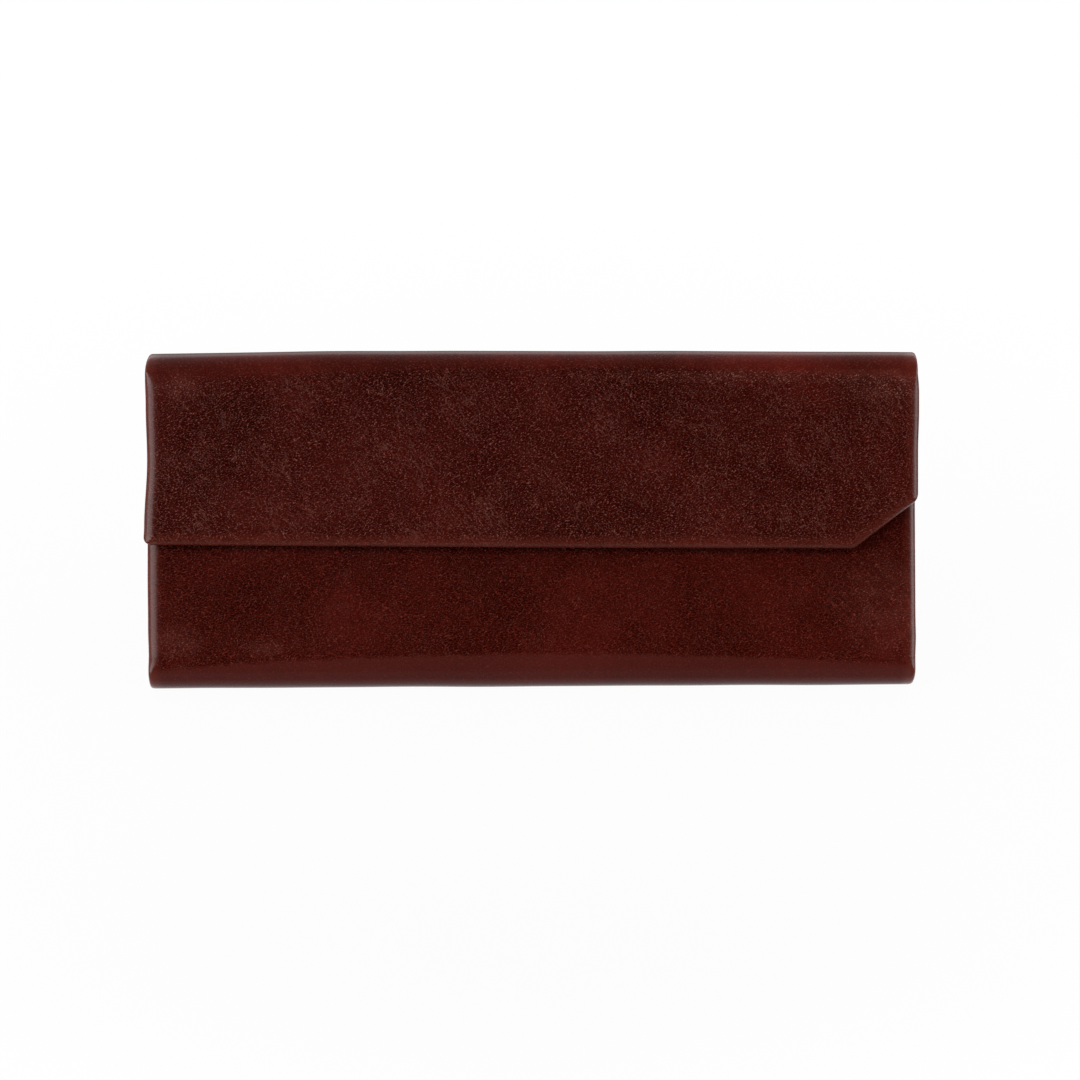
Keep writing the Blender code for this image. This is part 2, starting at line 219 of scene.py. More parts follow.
def settled(x, v, depth):
    # where a point of the flat sheet lies once the leather has settled
    shape = edgeShape
    half = caseSizes["length"] / 2
    wallV = v - spans["frontWall"][0]
    onFlap = smooth((spans["topFold"][0] - v) / shape["flapFade"])
    onWall = smooth((wallV + shape["wallStart"]) / shape["wallFade"])
    left = onFlap * throughPoints(v, shape["left"]) + onWall * throughPoints(wallV, shape["wallLeft"])
    right = onFlap * throughPoints(v, shape["right"]) + onWall * throughPoints(wallV, shape["wallRight"])
    wave = np.sin(fullTurn * v / shape["waveLength"] + np.sign(x) * shape["waveStart"])
    wave = (1 - onFlap - onWall) * wave * shape["waveHeight"]
    outwards = np.where(x < 0, left, right) + wave
    nearEnd = np.maximum(1 - (half - np.abs(x)) / shape["reach"], 0) ** 2
    newX = x + np.sign(x) * outwards * nearEnd

    along = x / half
    edgeLift = np.where(along < 0, -along * shape["flapEdgeLeft"], along * shape["flapEdgeRight"])
    newV = v + edgeLift * smooth(1 - v / shape["flapEdgeReach"]) * (v < shape["flapEdgeReach"])

    humps = []
    for name in ("topFold", "frontFold"):
        low, high = spans[name]
        t = np.clip((v - low) / (high - low), 0, 1)
        humps.append(4 * t * (1 - t))
    onTop, onFront = humps
    topEnds = 0
    for side, (height, start, power) in ((-1, shape["topLeft"]), (1, shape["topRight"])):
        topEnds = topEnds + height * np.maximum((side * along - start) / (1 - start), 0) ** power
    swells = [np.sin(fullTurn * (x / a + v / b + start)) for a, b, start in shape["swells"]]
    share, length = shape["dimples"]
    uneven = swells[0] + swells[1] + share * swells[2] * np.sin(fullTurn * v / length)
    proud = onTop * topEnds + onFront * shape["frontTilt"] * x + onFront**2 * shape["frontSwell"]
    proud = proud + shape["unevenness"] * uneven / (2 + share)
    return newX, newV, depth - proud


def onSheet(x, v, depth):
    # the place in the case, in mm, of a point of the unrolled sheet
    x, v, depth = settled(*np.broadcast_arrays(np.asarray(x, float), v, depth))
    y, z, angle = (np.interp(v, sheetTable[:, 0], sheetTable[:, i]) for i in (1, 2, 3))
    turn = np.radians(angle)
    return np.stack([x, y - depth * np.cos(turn), z - depth * np.sin(turn)], -1)


# Materials


def hexColour(text):
    # an sRGB hex value as linear red, green and blue
    parts = [int(text[i : i + 2], 16) / 255 for i in (1, 3, 5)]
    return (*[c / 12.92 if c <= 0.04045 else ((c + 0.055) / 1.055) ** 2.4 for c in parts], 1.0)


def addNode(tree, kind, settings, *inputs):
    # settings go by a property's name, or a socket's name or number, and inputs are its first
    # sockets. A node given as a value is linked by its first output, and a socket by itself.
    node = tree.nodes.new("ShaderNode" + kind)
    for key, value in {**settings, **dict(enumerate(inputs))}.items():
        if isinstance(value, bpy.types.Node):
            value = next(output for output in value.outputs if output.enabled)
        if isinstance(key, str) and hasattr(node, key):
            setattr(node, key, value)
        elif isinstance(value, bpy.types.NodeSocket):
            tree.links.new(value, node.inputs[key])
        else:
            node.inputs[key].default_value = value
    return node


def newMaterial(name):
    material = bpy.data.materials.new(name)
    material.use_nodes = True
    material.node_tree.nodes.clear()
    return material, material.node_tree


# settings that many nodes share
times = {"operation": "MULTIPLY"}
plus = {"operation": "ADD"}
timesPlus = {"operation": "MULTIPLY_ADD"}
largest = {"operation": "MAXIMUM"}
lengthOf = {"operation": "LENGTH"}
softStep = {"interpolation_type": "SMOOTHSTEP"}
firstNumber, secondNumber = 2, 3  # a Mix node's sockets, which share their names
firstColour, secondColour = 6, 7

# Aniline-dyed calf leather, drum-milled so that a fine crackled grain stands up, then lightly
# glazed: a deep red-brown, with a web of paler grain that carries painted glints, and folds that are paler,
# partly as a painted sheen.
# Its places are mm along the case and mm along the unrolled sheet, from the flap's edge.
leatherLook = {
    "dyes": ((0.36, "#2e0804"), (0.50, "#380b06"), (0.66, "#450e08")),  # from dark clouds to bright
    "dyeSlope": 0.0012,  # painted light: brighter by this per mm along the case, towards its right end
    "over": {  # colours over the dye, and how much shows of each
        # drawn leather on the folds: paler, partly as a painted sheen
        "fold": ("#5a2621", 1.0),
        "pit": ("#120201", 0.34),
        # pale creases: partly bleached leather, partly painted glint
        "ridge": ("#9c2e1e", 0.34),
        # painted glints: pale grain lines that stand in for highlights
        "glint": ("#c4847a", 0.48),
        "crease": ("#8a5348", 0.40),
        # wear with a painted sheen
        "worn": ("#8a4a40", 0.13),
        # rubbed edges: paler partly from wear, partly as a painted highlight on the rolled ends
        "rub": ("#7d3426", 0.90),
    },
    "noises": {  # mm across a blotch, detail, roughness and distortion
        "ragged": (1.6, 2, 0.5, 0.0),
        "wander": (2.6, 3, 0.5, 0.0),
        "kinds": (7.0, 3, 0.6, 0.0),
        "specks": (0.26, 1, 0.5, 0.0),  # pores, coarser than the real 0.1 mm so that they show
        "creasePatches": (4.2, 4, 0.65, 0.0),
        "wrinklePatches": (11.0, 3, 0.6, 0.0),
        "clouds": (24.0, 4, 0.55, 0.3),
        "mottle": (1.3, 4, 0.7, 0.0),
        "polish": (3.0, 3, 0.6, 0.0),
    },
    "wander": 0.6,  # mm that the grain's cells stray, so that no two pebbles are alike
    "webs": {  # mm along, across and through a cell, degrees of turn, and the lines' share of a cell
        "pebbles": ((0.46, 0.46, 0.46), 0, 0.1304),
        "crinkles": ((0.92, 0.38, 1.0), 16, 0.12),
        "creases": ((2.4, 2.4, 2.4), -30, 0.0417),
        "wrinkles": ((6.0, 1.3, 1.0), -50, 0.05),
    },
    "sparkle": ((0.46, 0.28, 1.0), 30),  # mm and degrees of the blotches with painted glints
    "fades": {  # what a soft step follows, from where to where, and its values there
        "crinkled": ("kinds", 0.36, 0.52, 0.0, 1.0),  # pebbles give way to crinkles
        "broken": ("specks", 0.34, 0.62, 0.45, 1.0),  # in the grain's lines
        "glinting": ("sparkle", 0.48, 0.68, 0.0, 1.0),
        "creased": ("creasePatches", 0.50, 0.64, 0.0, 1.0),
        "wrinkled": ("wrinklePatches", 0.44, 0.60, 0.0, 1.0),
        "interrupted": ("specks", 0.38, 0.56, 0.25, 1.0),  # in the creases
        "pitted": ("specks", 0.50, 0.34, 0.0, 1.0),
        "mottled": ("mottle", 0.3, 0.7, 0.85, 1.15),
        "hazy": ("clouds", 0.42, 0.62, 0.0, 1.0),
        "polished": ("polish", 0.38, 0.62, 0.35, 1.0),
        "freshDye": ("along", 150.0, 175.0, 1.0, 1.07),  # the front wall is touched less than the flap
        # fewer painted glints on the front wall
        "freshGlints": ("along", 150.0, 175.0, 1.0, 0.4),
        "freshCreases": ("along", 150.0, 175.0, 1.0, 0.3),
        "freshRidges": ("along", 150.0, 175.0, 0.78, 1.0),
    },
    "drawnLine": {  # where drawn leather starts: above the board's end, ragged, tilted and bowed
        "rise": 0.8,
        "ragged": 1.2,
        "tilt": -0.006,
        "bow": 0.00045,
    },
    "drawnOver": {  # mm from a fold's start and end in which drawn leather fades in and out, how much paler it is (partly a painted sheen), and how much painted light brightens its dye, in the middle and per mm along the case
        # paler it is, and how much brighter its dye, in the middle and per mm along the case
        "topFold": ((-0.6, 1.2), (-1.2, 0.6), 0.15, (0.9, 0.006)),
        "rearFold": ((-2.5, 2.0), (-2.0, 2.5), 0.6, (0.25, 0.0)),
        "frontFold": ((-2.5, 2.0), (-0.9, 0.3), 0.7, (0.25, 0.002)),
    },
    "drawnSmooth": 0.6,  # share of the grain that a fold pulls flat
    "softStretch": 0.25,  # of the end walls, and the share of their grain that skiving takes away
    "softSmoothing": 0.25,
    "pressed": {  # painted shadow: a dark line on the front wall just under the closed flap's edge
        "start": (209.4, 210.9),
        "end": (211.6, 212.8),
        "dark": 0.25,
        "tilt": 0.0066,
        "cutAt": 66.0,  # mm along the case: where the flap's cut corner starts, and how it slopes
        "cutSlope": -0.77,
    },
    "wornSpots": {  # patches of wear with a painted sheen: middle and half size, each along the case and along the sheet
        "flapCorner": (-74.0, 33.6, 7.0, 4.0),
        "flapCrease": (62.0, 35.8, 62.0, 1.9),
        "flapTopRight": (76.0, 33.6, 16.0, 5.0),
        "wallCorner": (-73.5, 191.5, 6.5, 4.5),
        "wallLeft": (-56.0, 190.0, 6.0, 2.5),
        "wallRight": (76.0, 199.0, 16.0, 14.0),
    },
    "wornCore": 0.3,  # share of a spot at its full painted sheen
    "wornGlints": 1.2,  # how many more painted glints it has, as a share
    "relief": {"grain": 0.2, "glints": 0.4, "creases": 0.35},  # shares of the bump's height
    "bumpHeight": 0.06,  # mm from a crease to a ridge
    "roughness": 0.225,
    "hazyRoughness": 0.05,  # more on bright clouds
    "foldRoughness": -0.005,  # and less on the folds
    "ior": 1.48,
    "specular": 0.14,
    "burnish": 0.52,  # wax coat at rubbed edges
    "foldGloss": 0.16,  # and on the folds
    "coatRoughness": 0.22,
}


def leatherMaterial(name, smoothing=0.0, isSheet=True):
    # smoothing takes away that share of the grain. The sheet round the case is drawn over its folds
    # and worn, and the end walls' leather is not.
    look = leatherLook
    material, tree = newMaterial(name)
    place = addNode(tree, "Attribute", {"attribute_name": "sheetPlace"}).outputs["Vector"]
    rub = addNode(tree, "Attribute", {"attribute_name": "rub"}).outputs["Fac"]
    across, along, _ = addNode(tree, "SeparateXYZ", {}, place).outputs
    noises = {}
    for key, (size, detail, roughness, distortion) in look["noises"].items():
        settings = {"Scale": 1 / size, "Detail": detail, "Roughness": roughness, "Distortion": distortion}
        noises[key] = addNode(tree, "TexNoise", settings, place)

    # webs of fine lines, between cells that wander
    reach = look["wander"]
    stray = noises["wander"].outputs["Color"]
    shift = addNode(tree, "VectorMath", timesPlus, stray, (2 * reach,) * 3, (-reach,) * 3)
    grainPlace = addNode(tree, "VectorMath", plus, place, shift)
    webs = {}
    for key, (cell, turned, width) in look["webs"].items():
        settings = {"vector_type": "TEXTURE", "Rotation": (0, 0, math.radians(turned)), "Scale": cell}
        laid = addNode(tree, "Mapping", settings, grainPlace)
        cells = addNode(tree, "TexVoronoi", {"feature": "DISTANCE_TO_EDGE", "Scale": 1.0}, laid)
        webs[key] = addNode(tree, "MapRange", softStep, cells, 0.0, width, 1.0, 0.0)
    # blotches in which the painted glints show
    cell, turned = look["sparkle"]
    settings = {"vector_type": "TEXTURE", "Rotation": (0, 0, math.radians(turned)), "Scale": cell}
    laid = addNode(tree, "Mapping", settings, place)
    noises["sparkle"] = addNode(tree, "TexNoise", {"Scale": 1.0, "Detail": 1.0}, laid)

    sources = {**noises, "along": along}
    fades = {}
    for key, (source, *steps) in look["fades"].items():
        fades[key] = addNode(tree, "MapRange", softStep, sources[source], *steps)

    # how far the leather is drawn, how pale that makes it, partly as a painted sheen, and the painted light
    # that brightens its dye
    stretch, drawnPaleAndSheen, paintedFoldLight = 0.0 if isSheet else look["softStretch"], 0.0, 1.0
    shape = look["drawnLine"]
    line = addNode(tree, "Math", timesPlus, noises["ragged"], shape["ragged"], along)
    line = addNode(tree, "Math", timesPlus, across, shape["tilt"], line)
    squared = addNode(tree, "Math", times, across, across)
    line = addNode(tree, "Math", timesPlus, squared, shape["bow"], line)
    for span, (start, end, share, (dye, slope)) in look["drawnOver"].items() if isSheet else ():
        low, high = (edge + shape["ragged"] / 2 + shape["rise"] for edge in spans[span])
        rising = addNode(tree, "MapRange", softStep, line, low + start[0], low + start[1])
        falling = addNode(tree, "MapRange", softStep, line, high + end[0], high + end[1], 1.0, 0.0)
        drawn = addNode(tree, "Math", times, rising, falling)
        paintedFoldLightHere = addNode(tree, "Math", timesPlus, across, slope, dye)
        stretch = addNode(tree, "Math", plus, drawn, stretch)
        drawnPaleAndSheen = addNode(tree, "Math", timesPlus, drawn, share, drawnPaleAndSheen)
        paintedFoldLight = addNode(tree, "Math", timesPlus, drawn, paintedFoldLightHere, paintedFoldLight)
    rough = 1.0 - smoothing
    calm = addNode(tree, "Math", timesPlus, stretch, -look["drawnSmooth"] * rough, rough)

    # fine grain, the painted glints on it, and long thin creases with short wrinkles that run down to the
    # right, their paleness partly painted glint
    grain = {firstNumber: webs["pebbles"], secondNumber: webs["crinkles"]}
    fine = addNode(tree, "Mix", grain, fades["crinkled"])
    fine = addNode(tree, "Math", times, fine, fades["broken"])
    glints = addNode(tree, "Math", times, fine, fades["glinting"])
    glints = addNode(tree, "Math", times, glints, fades["freshGlints"])
    creases = addNode(tree, "Math", times, webs["creases"], fades["creased"])
    wrinkles = addNode(tree, "Math", times, webs["wrinkles"], fades["wrinkled"])
    creases = addNode(tree, "Math", largest, creases, wrinkles)
    creases = addNode(tree, "Math", times, creases, fades["interrupted"])
    creases = addNode(tree, "Math", times, creases, fades["freshCreases"])

    # painted shadow: the front wall darkens in a line under the closed flap's edge
    pressed = look["pressed"]
    pastCut = addNode(tree, "Math", plus, across, -pressed["cutAt"])
    pastCut = addNode(tree, "Math", largest, pastCut, 0.0)
    line = addNode(tree, "Math", timesPlus, across, pressed["tilt"], along)
    line = addNode(tree, "Math", timesPlus, pastCut, pressed["cutSlope"], line)
    darkening = addNode(tree, "MapRange", softStep, line, *pressed["start"], 1.0, pressed["dark"])
    clearing = addNode(tree, "MapRange", softStep, line, *pressed["end"], pressed["dark"], 1.0)

    # painted sheen: spots where the leather is paler and glints more, partly wear
    worn = 0.0
    for x, v, halfX, halfV in look["wornSpots"].values() if isSheet else ():
        settings = {"vector_type": "TEXTURE", "Location": (x, v, 0), "Scale": (halfX, halfV, 1)}
        apart = addNode(tree, "Mapping", settings, place)
        apart = addNode(tree, "VectorMath", times, apart, (1, 1, 0))
        distance = addNode(tree, "VectorMath", lengthOf, apart)
        spot = addNode(tree, "MapRange", softStep, distance, look["wornCore"], 1.0, 1.0, 0.0)
        worn = addNode(tree, "Math", timesPlus, spot, fades["polished"], worn)
    wornGlints = addNode(tree, "Math", timesPlus, worn, look["wornGlints"], 1.0)

    # colour: cloudy dye scaled by painted light and shadow, then what lies over it, each by the product of
    # its shares
    ramp = addNode(tree, "ValToRGB", {}, noises["clouds"])
    ramp.color_ramp.elements.new(0.5)
    for step, (position, dye) in zip(ramp.color_ramp.elements, look["dyes"]):
        step.position = position
        step.color = hexColour(dye)
    toneAndPaintedLight = addNode(tree, "Math", timesPlus, across, look["dyeSlope"], 1.0)
    paintedShadowFactor = addNode(tree, "Math", largest, darkening, clearing)
    for factor in (fades["freshDye"], paintedShadowFactor, paintedFoldLight, fades["mottled"]):
        toneAndPaintedLight = addNode(tree, "Math", times, toneAndPaintedLight, factor)
    colour = addNode(tree, "VectorMath", {"operation": "SCALE", "Scale": toneAndPaintedLight}, ramp)
    shares = {
        "fold": (drawnPaleAndSheen,),
        "pit": (fades["pitted"], calm),
        "ridge": (fine, calm, fades["freshRidges"]),
        "glint": (glints, calm, wornGlints),
        "crease": (creases, calm),
        "worn": (worn,),
        "rub": (rub, noises["mottle"]),
    }
    for key, factors in shares.items():
        paint, share = look["over"][key]
        for factor in factors:
            share = addNode(tree, "Math", times, factor, share)
        settings = {"data_type": "RGBA", firstColour: colour, secondColour: hexColour(paint)}
        colour = addNode(tree, "Mix", settings, share)

    relief = 0.0
    for key, lines in (("grain", fine), ("glints", glints), ("creases", creases)):
        relief = addNode(tree, "Math", timesPlus, lines, look["relief"][key], relief)
    bump = {"Distance": look["bumpHeight"] * mm, "Height": relief, "Strength": calm}
    roughness = addNode(tree, "Math", timesPlus, fades["hazy"], look["hazyRoughness"], look["roughness"])
    roughness = addNode(tree, "Math", timesPlus, stretch, look["foldRoughness"], roughness)
    gloss = addNode(tree, "Math", times, rub, look["burnish"])
    gloss = addNode(tree, "Math", timesPlus, stretch, look["foldGloss"], gloss)
    settings = {
        "Base Color": colour,
        "Roughness": roughness,
        "IOR": look["ior"],
        "Specular IOR Level": look["specular"],
        "Coat Weight": gloss,
        "Coat Roughness": look["coatRoughness"],
        "Coat IOR": look["ior"],
        "Normal": addNode(tree, "Bump", bump),
    }
    addNode(tree, "OutputMaterial", {}, addNode(tree, "BsdfPrincipled", settings))
    return material


# Knitted microfibre, brushed to a short nap: it drinks the light, with a pale edge at a glance
liningLook = {
    "fibre": "#33201c",
    "nap": "#4a312b",
    "napShare": (0.12, 0.42),  # where the pile starts to turn paler, and is palest
    "fibreWidth": 0.18,  # mm, drawn coarser than the real 0.02 so that it shows
    "fibreLength": 5.0,  # times its width
    "fibreTurn": 62.0,  # degrees
    "strokeSize": 14.0,  # mm
    "roughness": 0.95,
    "specular": 0.2,
    "sheen": 0.35,
    "sheenRoughness": 0.5,
    "sheenTint": "#b08a7c",
    "bumpHeight": 0.05,  # mm
    "bumpStrength": 0.6,
}


def liningMaterial(name):
    look = liningLook
    material, tree = newMaterial(name)
    place = addNode(tree, "Attribute", {"attribute_name": "sheetPlace"}).outputs["Vector"]
    settings = {
        "vector_type": "TEXTURE",
        "Rotation": (0, 0, math.radians(look["fibreTurn"])),
        "Scale": (look["fibreLength"], 1.0, 1.0),
    }
    lying = addNode(tree, "Mapping", settings, place)
    settings = {"Scale": 1 / look["fibreWidth"], "Detail": 3.0, "Roughness": 0.6}
    fibres = addNode(tree, "TexNoise", settings, lying)
    settings = {"Scale": 1 / look["strokeSize"], "Detail": 2.0, "Distortion": 0.8}
    strokes = addNode(tree, "TexNoise", settings, place)
    share = addNode(tree, "Math", times, fibres, strokes)
    share = addNode(tree, "MapRange", {}, share, *look["napShare"])
    colours = {firstColour: hexColour(look["fibre"]), secondColour: hexColour(look["nap"])}
    colour = addNode(tree, "Mix", {"data_type": "RGBA", **colours}, share)
    bump = {"Distance": look["bumpHeight"] * mm, "Strength": look["bumpStrength"], "Height": fibres}
    settings = {
        "Base Color": colour,
        "Roughness": look["roughness"],
        "Specular IOR Level": look["specular"],
        "Sheen Weight": look["sheen"],
        "Sheen Roughness": look["sheenRoughness"],
        "Sheen Tint": hexColour(look["sheenTint"]),
        "Normal": addNode(tree, "Bump", bump),
    }
    addNode(tree, "OutputMaterial", {}, addNode(tree, "BsdfPrincipled", settings))
    return material


# Greyboard, pressed from recycled pulp: matt, with lighter fibres and dark specks
boardLook = {
    "pulp": "#8c857a",
    "fibre": "#a39c90",
    "speck": "#5d574f",
    "fibreLength": 1.4,  # mm
    "speckSize": 0.6,  # mm from one to the next
    "speckEdge": (0.16, 0.08),  # share of that at which a speck starts, and is darkest
    "bumpHeight": 0.03,  # mm
    "roughness": 0.92,
    "specular": 0.25,
}


def boardMaterial(name):
    look = boardLook
    material, tree = newMaterial(name)
    place = addNode(tree, "TexCoord", {}).outputs["Object"]
    settings = {"Scale": 1 / (look["fibreLength"] * mm), "Detail": 5.0, "Roughness": 0.7, "Distortion": 1.5}
    fibres = addNode(tree, "TexNoise", settings, place)
    colours = {firstColour: hexColour(look["pulp"]), secondColour: hexColour(look["fibre"])}
    pulp = addNode(tree, "Mix", {"data_type": "RGBA", **colours}, fibres)
    specks = addNode(tree, "TexVoronoi", {"Scale": 1 / (look["speckSize"] * mm)}, place)
    share = addNode(tree, "MapRange", {}, specks, *look["speckEdge"])
    colours = {firstColour: pulp, secondColour: hexColour(look["speck"])}
    colour = addNode(tree, "Mix", {"data_type": "RGBA", **colours}, share)
    settings = {
        "Base Color": colour,
        "Roughness": look["roughness"],
        "Specular IOR Level": look["specular"],
        "Normal": addNode(tree, "Bump", {"Distance": look["bumpHeight"] * mm, "Height": fibres}),
    }
    addNode(tree, "OutputMaterial", {}, addNode(tree, "BsdfPrincipled", settings))
    return material


# Neodymium magnet, barrel-plated in nickel: a pale warm metal with tumbled, slightly cloudy gloss
magnetLook = {
    "nickel": "#c6c0b4",
    "dull": "#a8a297",
    "tumbleMark": 0.5,  # mm
    "roughness": 0.24,
    "dullRoughness": 0.15,
}


def magnetMaterial(name):
    look = magnetLook
    material, tree = newMaterial(name)
    place = addNode(tree, "TexCoord", {}).outputs["Object"]
    marks = addNode(tree, "TexNoise", {"Scale": 1 / (look["tumbleMark"] * mm), "Detail": 4.0}, place)
    colours = {firstColour: hexColour(look["nickel"]), secondColour: hexColour(look["dull"])}
    settings = {
        "Metallic": 1.0,
        "Base Color": addNode(tree, "Mix", {"data_type": "RGBA", **colours}, marks),
        "Roughness": addNode(tree, "Math", timesPlus, marks, look["dullRoughness"], look["roughness"]),
    }
    addNode(tree, "OutputMaterial", {}, addNode(tree, "BsdfPrincipled", settings))
    return material


calfLeather = leatherMaterial("milledCalfLeather")
softLeather = leatherMaterial("skivedCalfLeather", leatherLook["softSmoothing"], isSheet=False)
microfibre = liningMaterial("brushedMicrofibre")
greyboard = boardMaterial("pressedGreyboard")
nickelPlate = magnetMaterial("nickelPlatedMagnet")
print("materials made")


# Meshes

weldDistance = 0.002  # mm
sharpAngle = 60  # degrees


class MeshDraft:
    # points, each with its place, its place on the unrolled sheet and how rubbed it is, which also sets a
    # painted highlight

    def __init__(self):
        self.points = []
        self.texture = []
        self.rub = []
        self.faces = []
        self.count = 0

    def add(self, place, texture, rub):
        # adds rows of points and gives their numbers in the same rows
        shape = place.shape[:-1]
        size = int(np.prod(shape))
        self.points.append(place.reshape(-1, 3))
        self.texture.append(np.broadcast_to(texture, (*shape, 3)).reshape(-1, 3))
        self.rub.append(np.broadcast_to(rub, shape).ravel())
        numbers = np.arange(self.count, self.count + size).reshape(shape)
        self.count += size
        return numbers

    def fill(self, rows, closed=False):
        # four-sided faces between neighbouring rows of point numbers
        if closed:
            rows = np.concatenate([rows, rows[:, :1]], 1)
        a, b, c, d = rows[:-1, :-1], rows[:-1, 1:], rows[1:, 1:], rows[1:, :-1]
        self.faces += np.stack([a, b, c, d], -1).reshape(-1, 4).tolist()

    def make(self, name, material):
        bm = bmesh.new()
        textureLayer = bm.verts.layers.float_vector.new("sheetPlace")
        rubLayer = bm.verts.layers.float.new("rub")
        verts = [bm.verts.new(p) for p in np.concatenate(self.points) * mm]
        texture = np.concatenate(self.texture)
        rub = np.concatenate(self.rub)
        for i, vert in enumerate(verts):
            vert[textureLayer] = Vector(texture[i])
            vert[rubLayer] = float(rub[i])
        for face in self.faces:
            corners = list(dict.fromkeys(face))
            if len(corners) > 2:
                try:
                    bm.faces.new([verts[i] for i in corners])
                except ValueError:
                    pass  # the same face was made before
        bmesh.ops.remove_doubles(bm, verts=bm.verts, dist=weldDistance * mm)
        bmesh.ops.recalc_face_normals(bm, faces=bm.faces)
        # the grids' own border points, whose places the rings' points took
        loose = [vert for vert in bm.verts if not vert.link_faces]
        bmesh.ops.delete(bm, geom=loose, context="VERTS")
        mesh = bpy.data.meshes.new(name)
        bm.to_mesh(mesh)
        bm.free()
        mesh.shade_smooth()
        mesh.set_sharp_from_angle(angle=math.radians(sharpAngle))
        mesh.materials.append(material)
        piece = bpy.data.objects.new(name, mesh)
        bpy.context.scene.collection.objects.link(piece)
        return piece


# Panel outlines: corners (x, y, radius) anticlockwise, with an edge after each corner

cornerSteps = 6
leastRadius = 0.08  # of a rounded corner, however far it is inset
nearFold = (0.0, 0.06, 0.14, 0.22, 0.32)  # rows that end a board, from the fold inwards
farAway = 1000.0


def insetCorners(corners, distances):
    count = len(corners)
    lines = []
    for i in range(count):
        here = np.array(corners[i][:2], float)
        there = np.array(corners[(i + 1) % count][:2], float)
        along = (there - here) / np.linalg.norm(there - here)
        lines.append((here + distances[i] * np.array([-along[1], along[0]]), along))
    moved = []
    for i, (_, _, radius) in enumerate(corners):
        (p, u), (q, w) = lines[i - 1], lines[i]
        gap = q - p
        reach = (gap[0] * w[1] - gap[1] * w[0]) / (u[0] * w[1] - u[1] * w[0])
        corner = p + reach * u
        least = leastRadius if radius > 0 else 0.0
        shrink = max(distances[i - 1], distances[i], 0)
        moved.append((corner[0], corner[1], max(radius - shrink, least)))
    return moved


def cornerArc(before, corner, ahead, radius):
    # a rounded corner as an arc of points, or the corner itself
    if radius <= 0:
        return [corner]
    back = (before - corner) / np.linalg.norm(before - corner)
    on = (ahead - corner) / np.linalg.norm(ahead - corner)
    half = math.acos(np.clip(back @ on, -1, 1)) / 2
    middle = (back + on) / np.linalg.norm(back + on)
    centre = corner + middle * radius / math.sin(half)
    start = corner + back * radius / math.tan(half) - centre
    turn = math.pi - 2 * half
    points = []
    for step in range(cornerSteps + 1):
        a = turn * step / cornerSteps
        right = start[0] * math.cos(a) - start[1] * math.sin(a)
        up = start[0] * math.sin(a) + start[1] * math.cos(a)
        points.append(centre + (right, up))
    return points


def outlineLoop(corners, distances, shares):
    # the whole outline, with the points between corners at these shares of each edge
    moved = insetCorners(corners, distances)
    count = len(moved)
    flat = [np.array(c[:2]) for c in moved]
    arcs = [cornerArc(flat[i - 1], flat[i], flat[(i + 1) % count], moved[i][2]) for i in range(count)]
    loop = []
    for i in range(count):
        loop += arcs[i]
        start, end = arcs[i][-1], arcs[(i + 1) % count][0]
        loop += [start + (end - start) * s for s in shares[i][1:-1]]
    return np.array(loop)


def evenShares(length, pieces, foldAtStart=False, foldAtEnd=False):
    # shares of an edge, with the close rows of nearFold at an end that meets a fold
    start = list(nearFold) if foldAtStart else [0.0]
    end = [length - d for d in nearFold][::-1] if foldAtEnd else [length]
    inner = pieces + 1 - len(start) - len(end)
    low, high = start[-1], end[0]
    between = [low + (high - low) * (i + 1) / (inner + 1) for i in range(inner)]
    return np.array(start + between + end) / length


def coonsPatch(bottom, right, top, left):
    # a grid of points between four matching sides; rows run from bottom to top
    def lengthShares(a, b):
        steps = [np.linalg.norm(np.diff(side, axis=0), axis=1) for side in (a, b)]
        shares = [np.concatenate([[0], np.cumsum(s)]) / s.sum() for s in steps]
        return (shares[0] + shares[1]) / 2

    s = lengthShares(bottom, top)[None, :, None]
    t = lengthShares(left, right)[:, None, None]
    across = (1 - t) * bottom[None] + t * top[None]
    up = (1 - s) * left[:, None] + s * right[:, None]
    ends = (1 - s) * (1 - t) * bottom[0] + s * (1 - t) * bottom[-1]
    ends = ends + (1 - s) * t * top[0] + s * t * top[-1]
    return across + up - ends


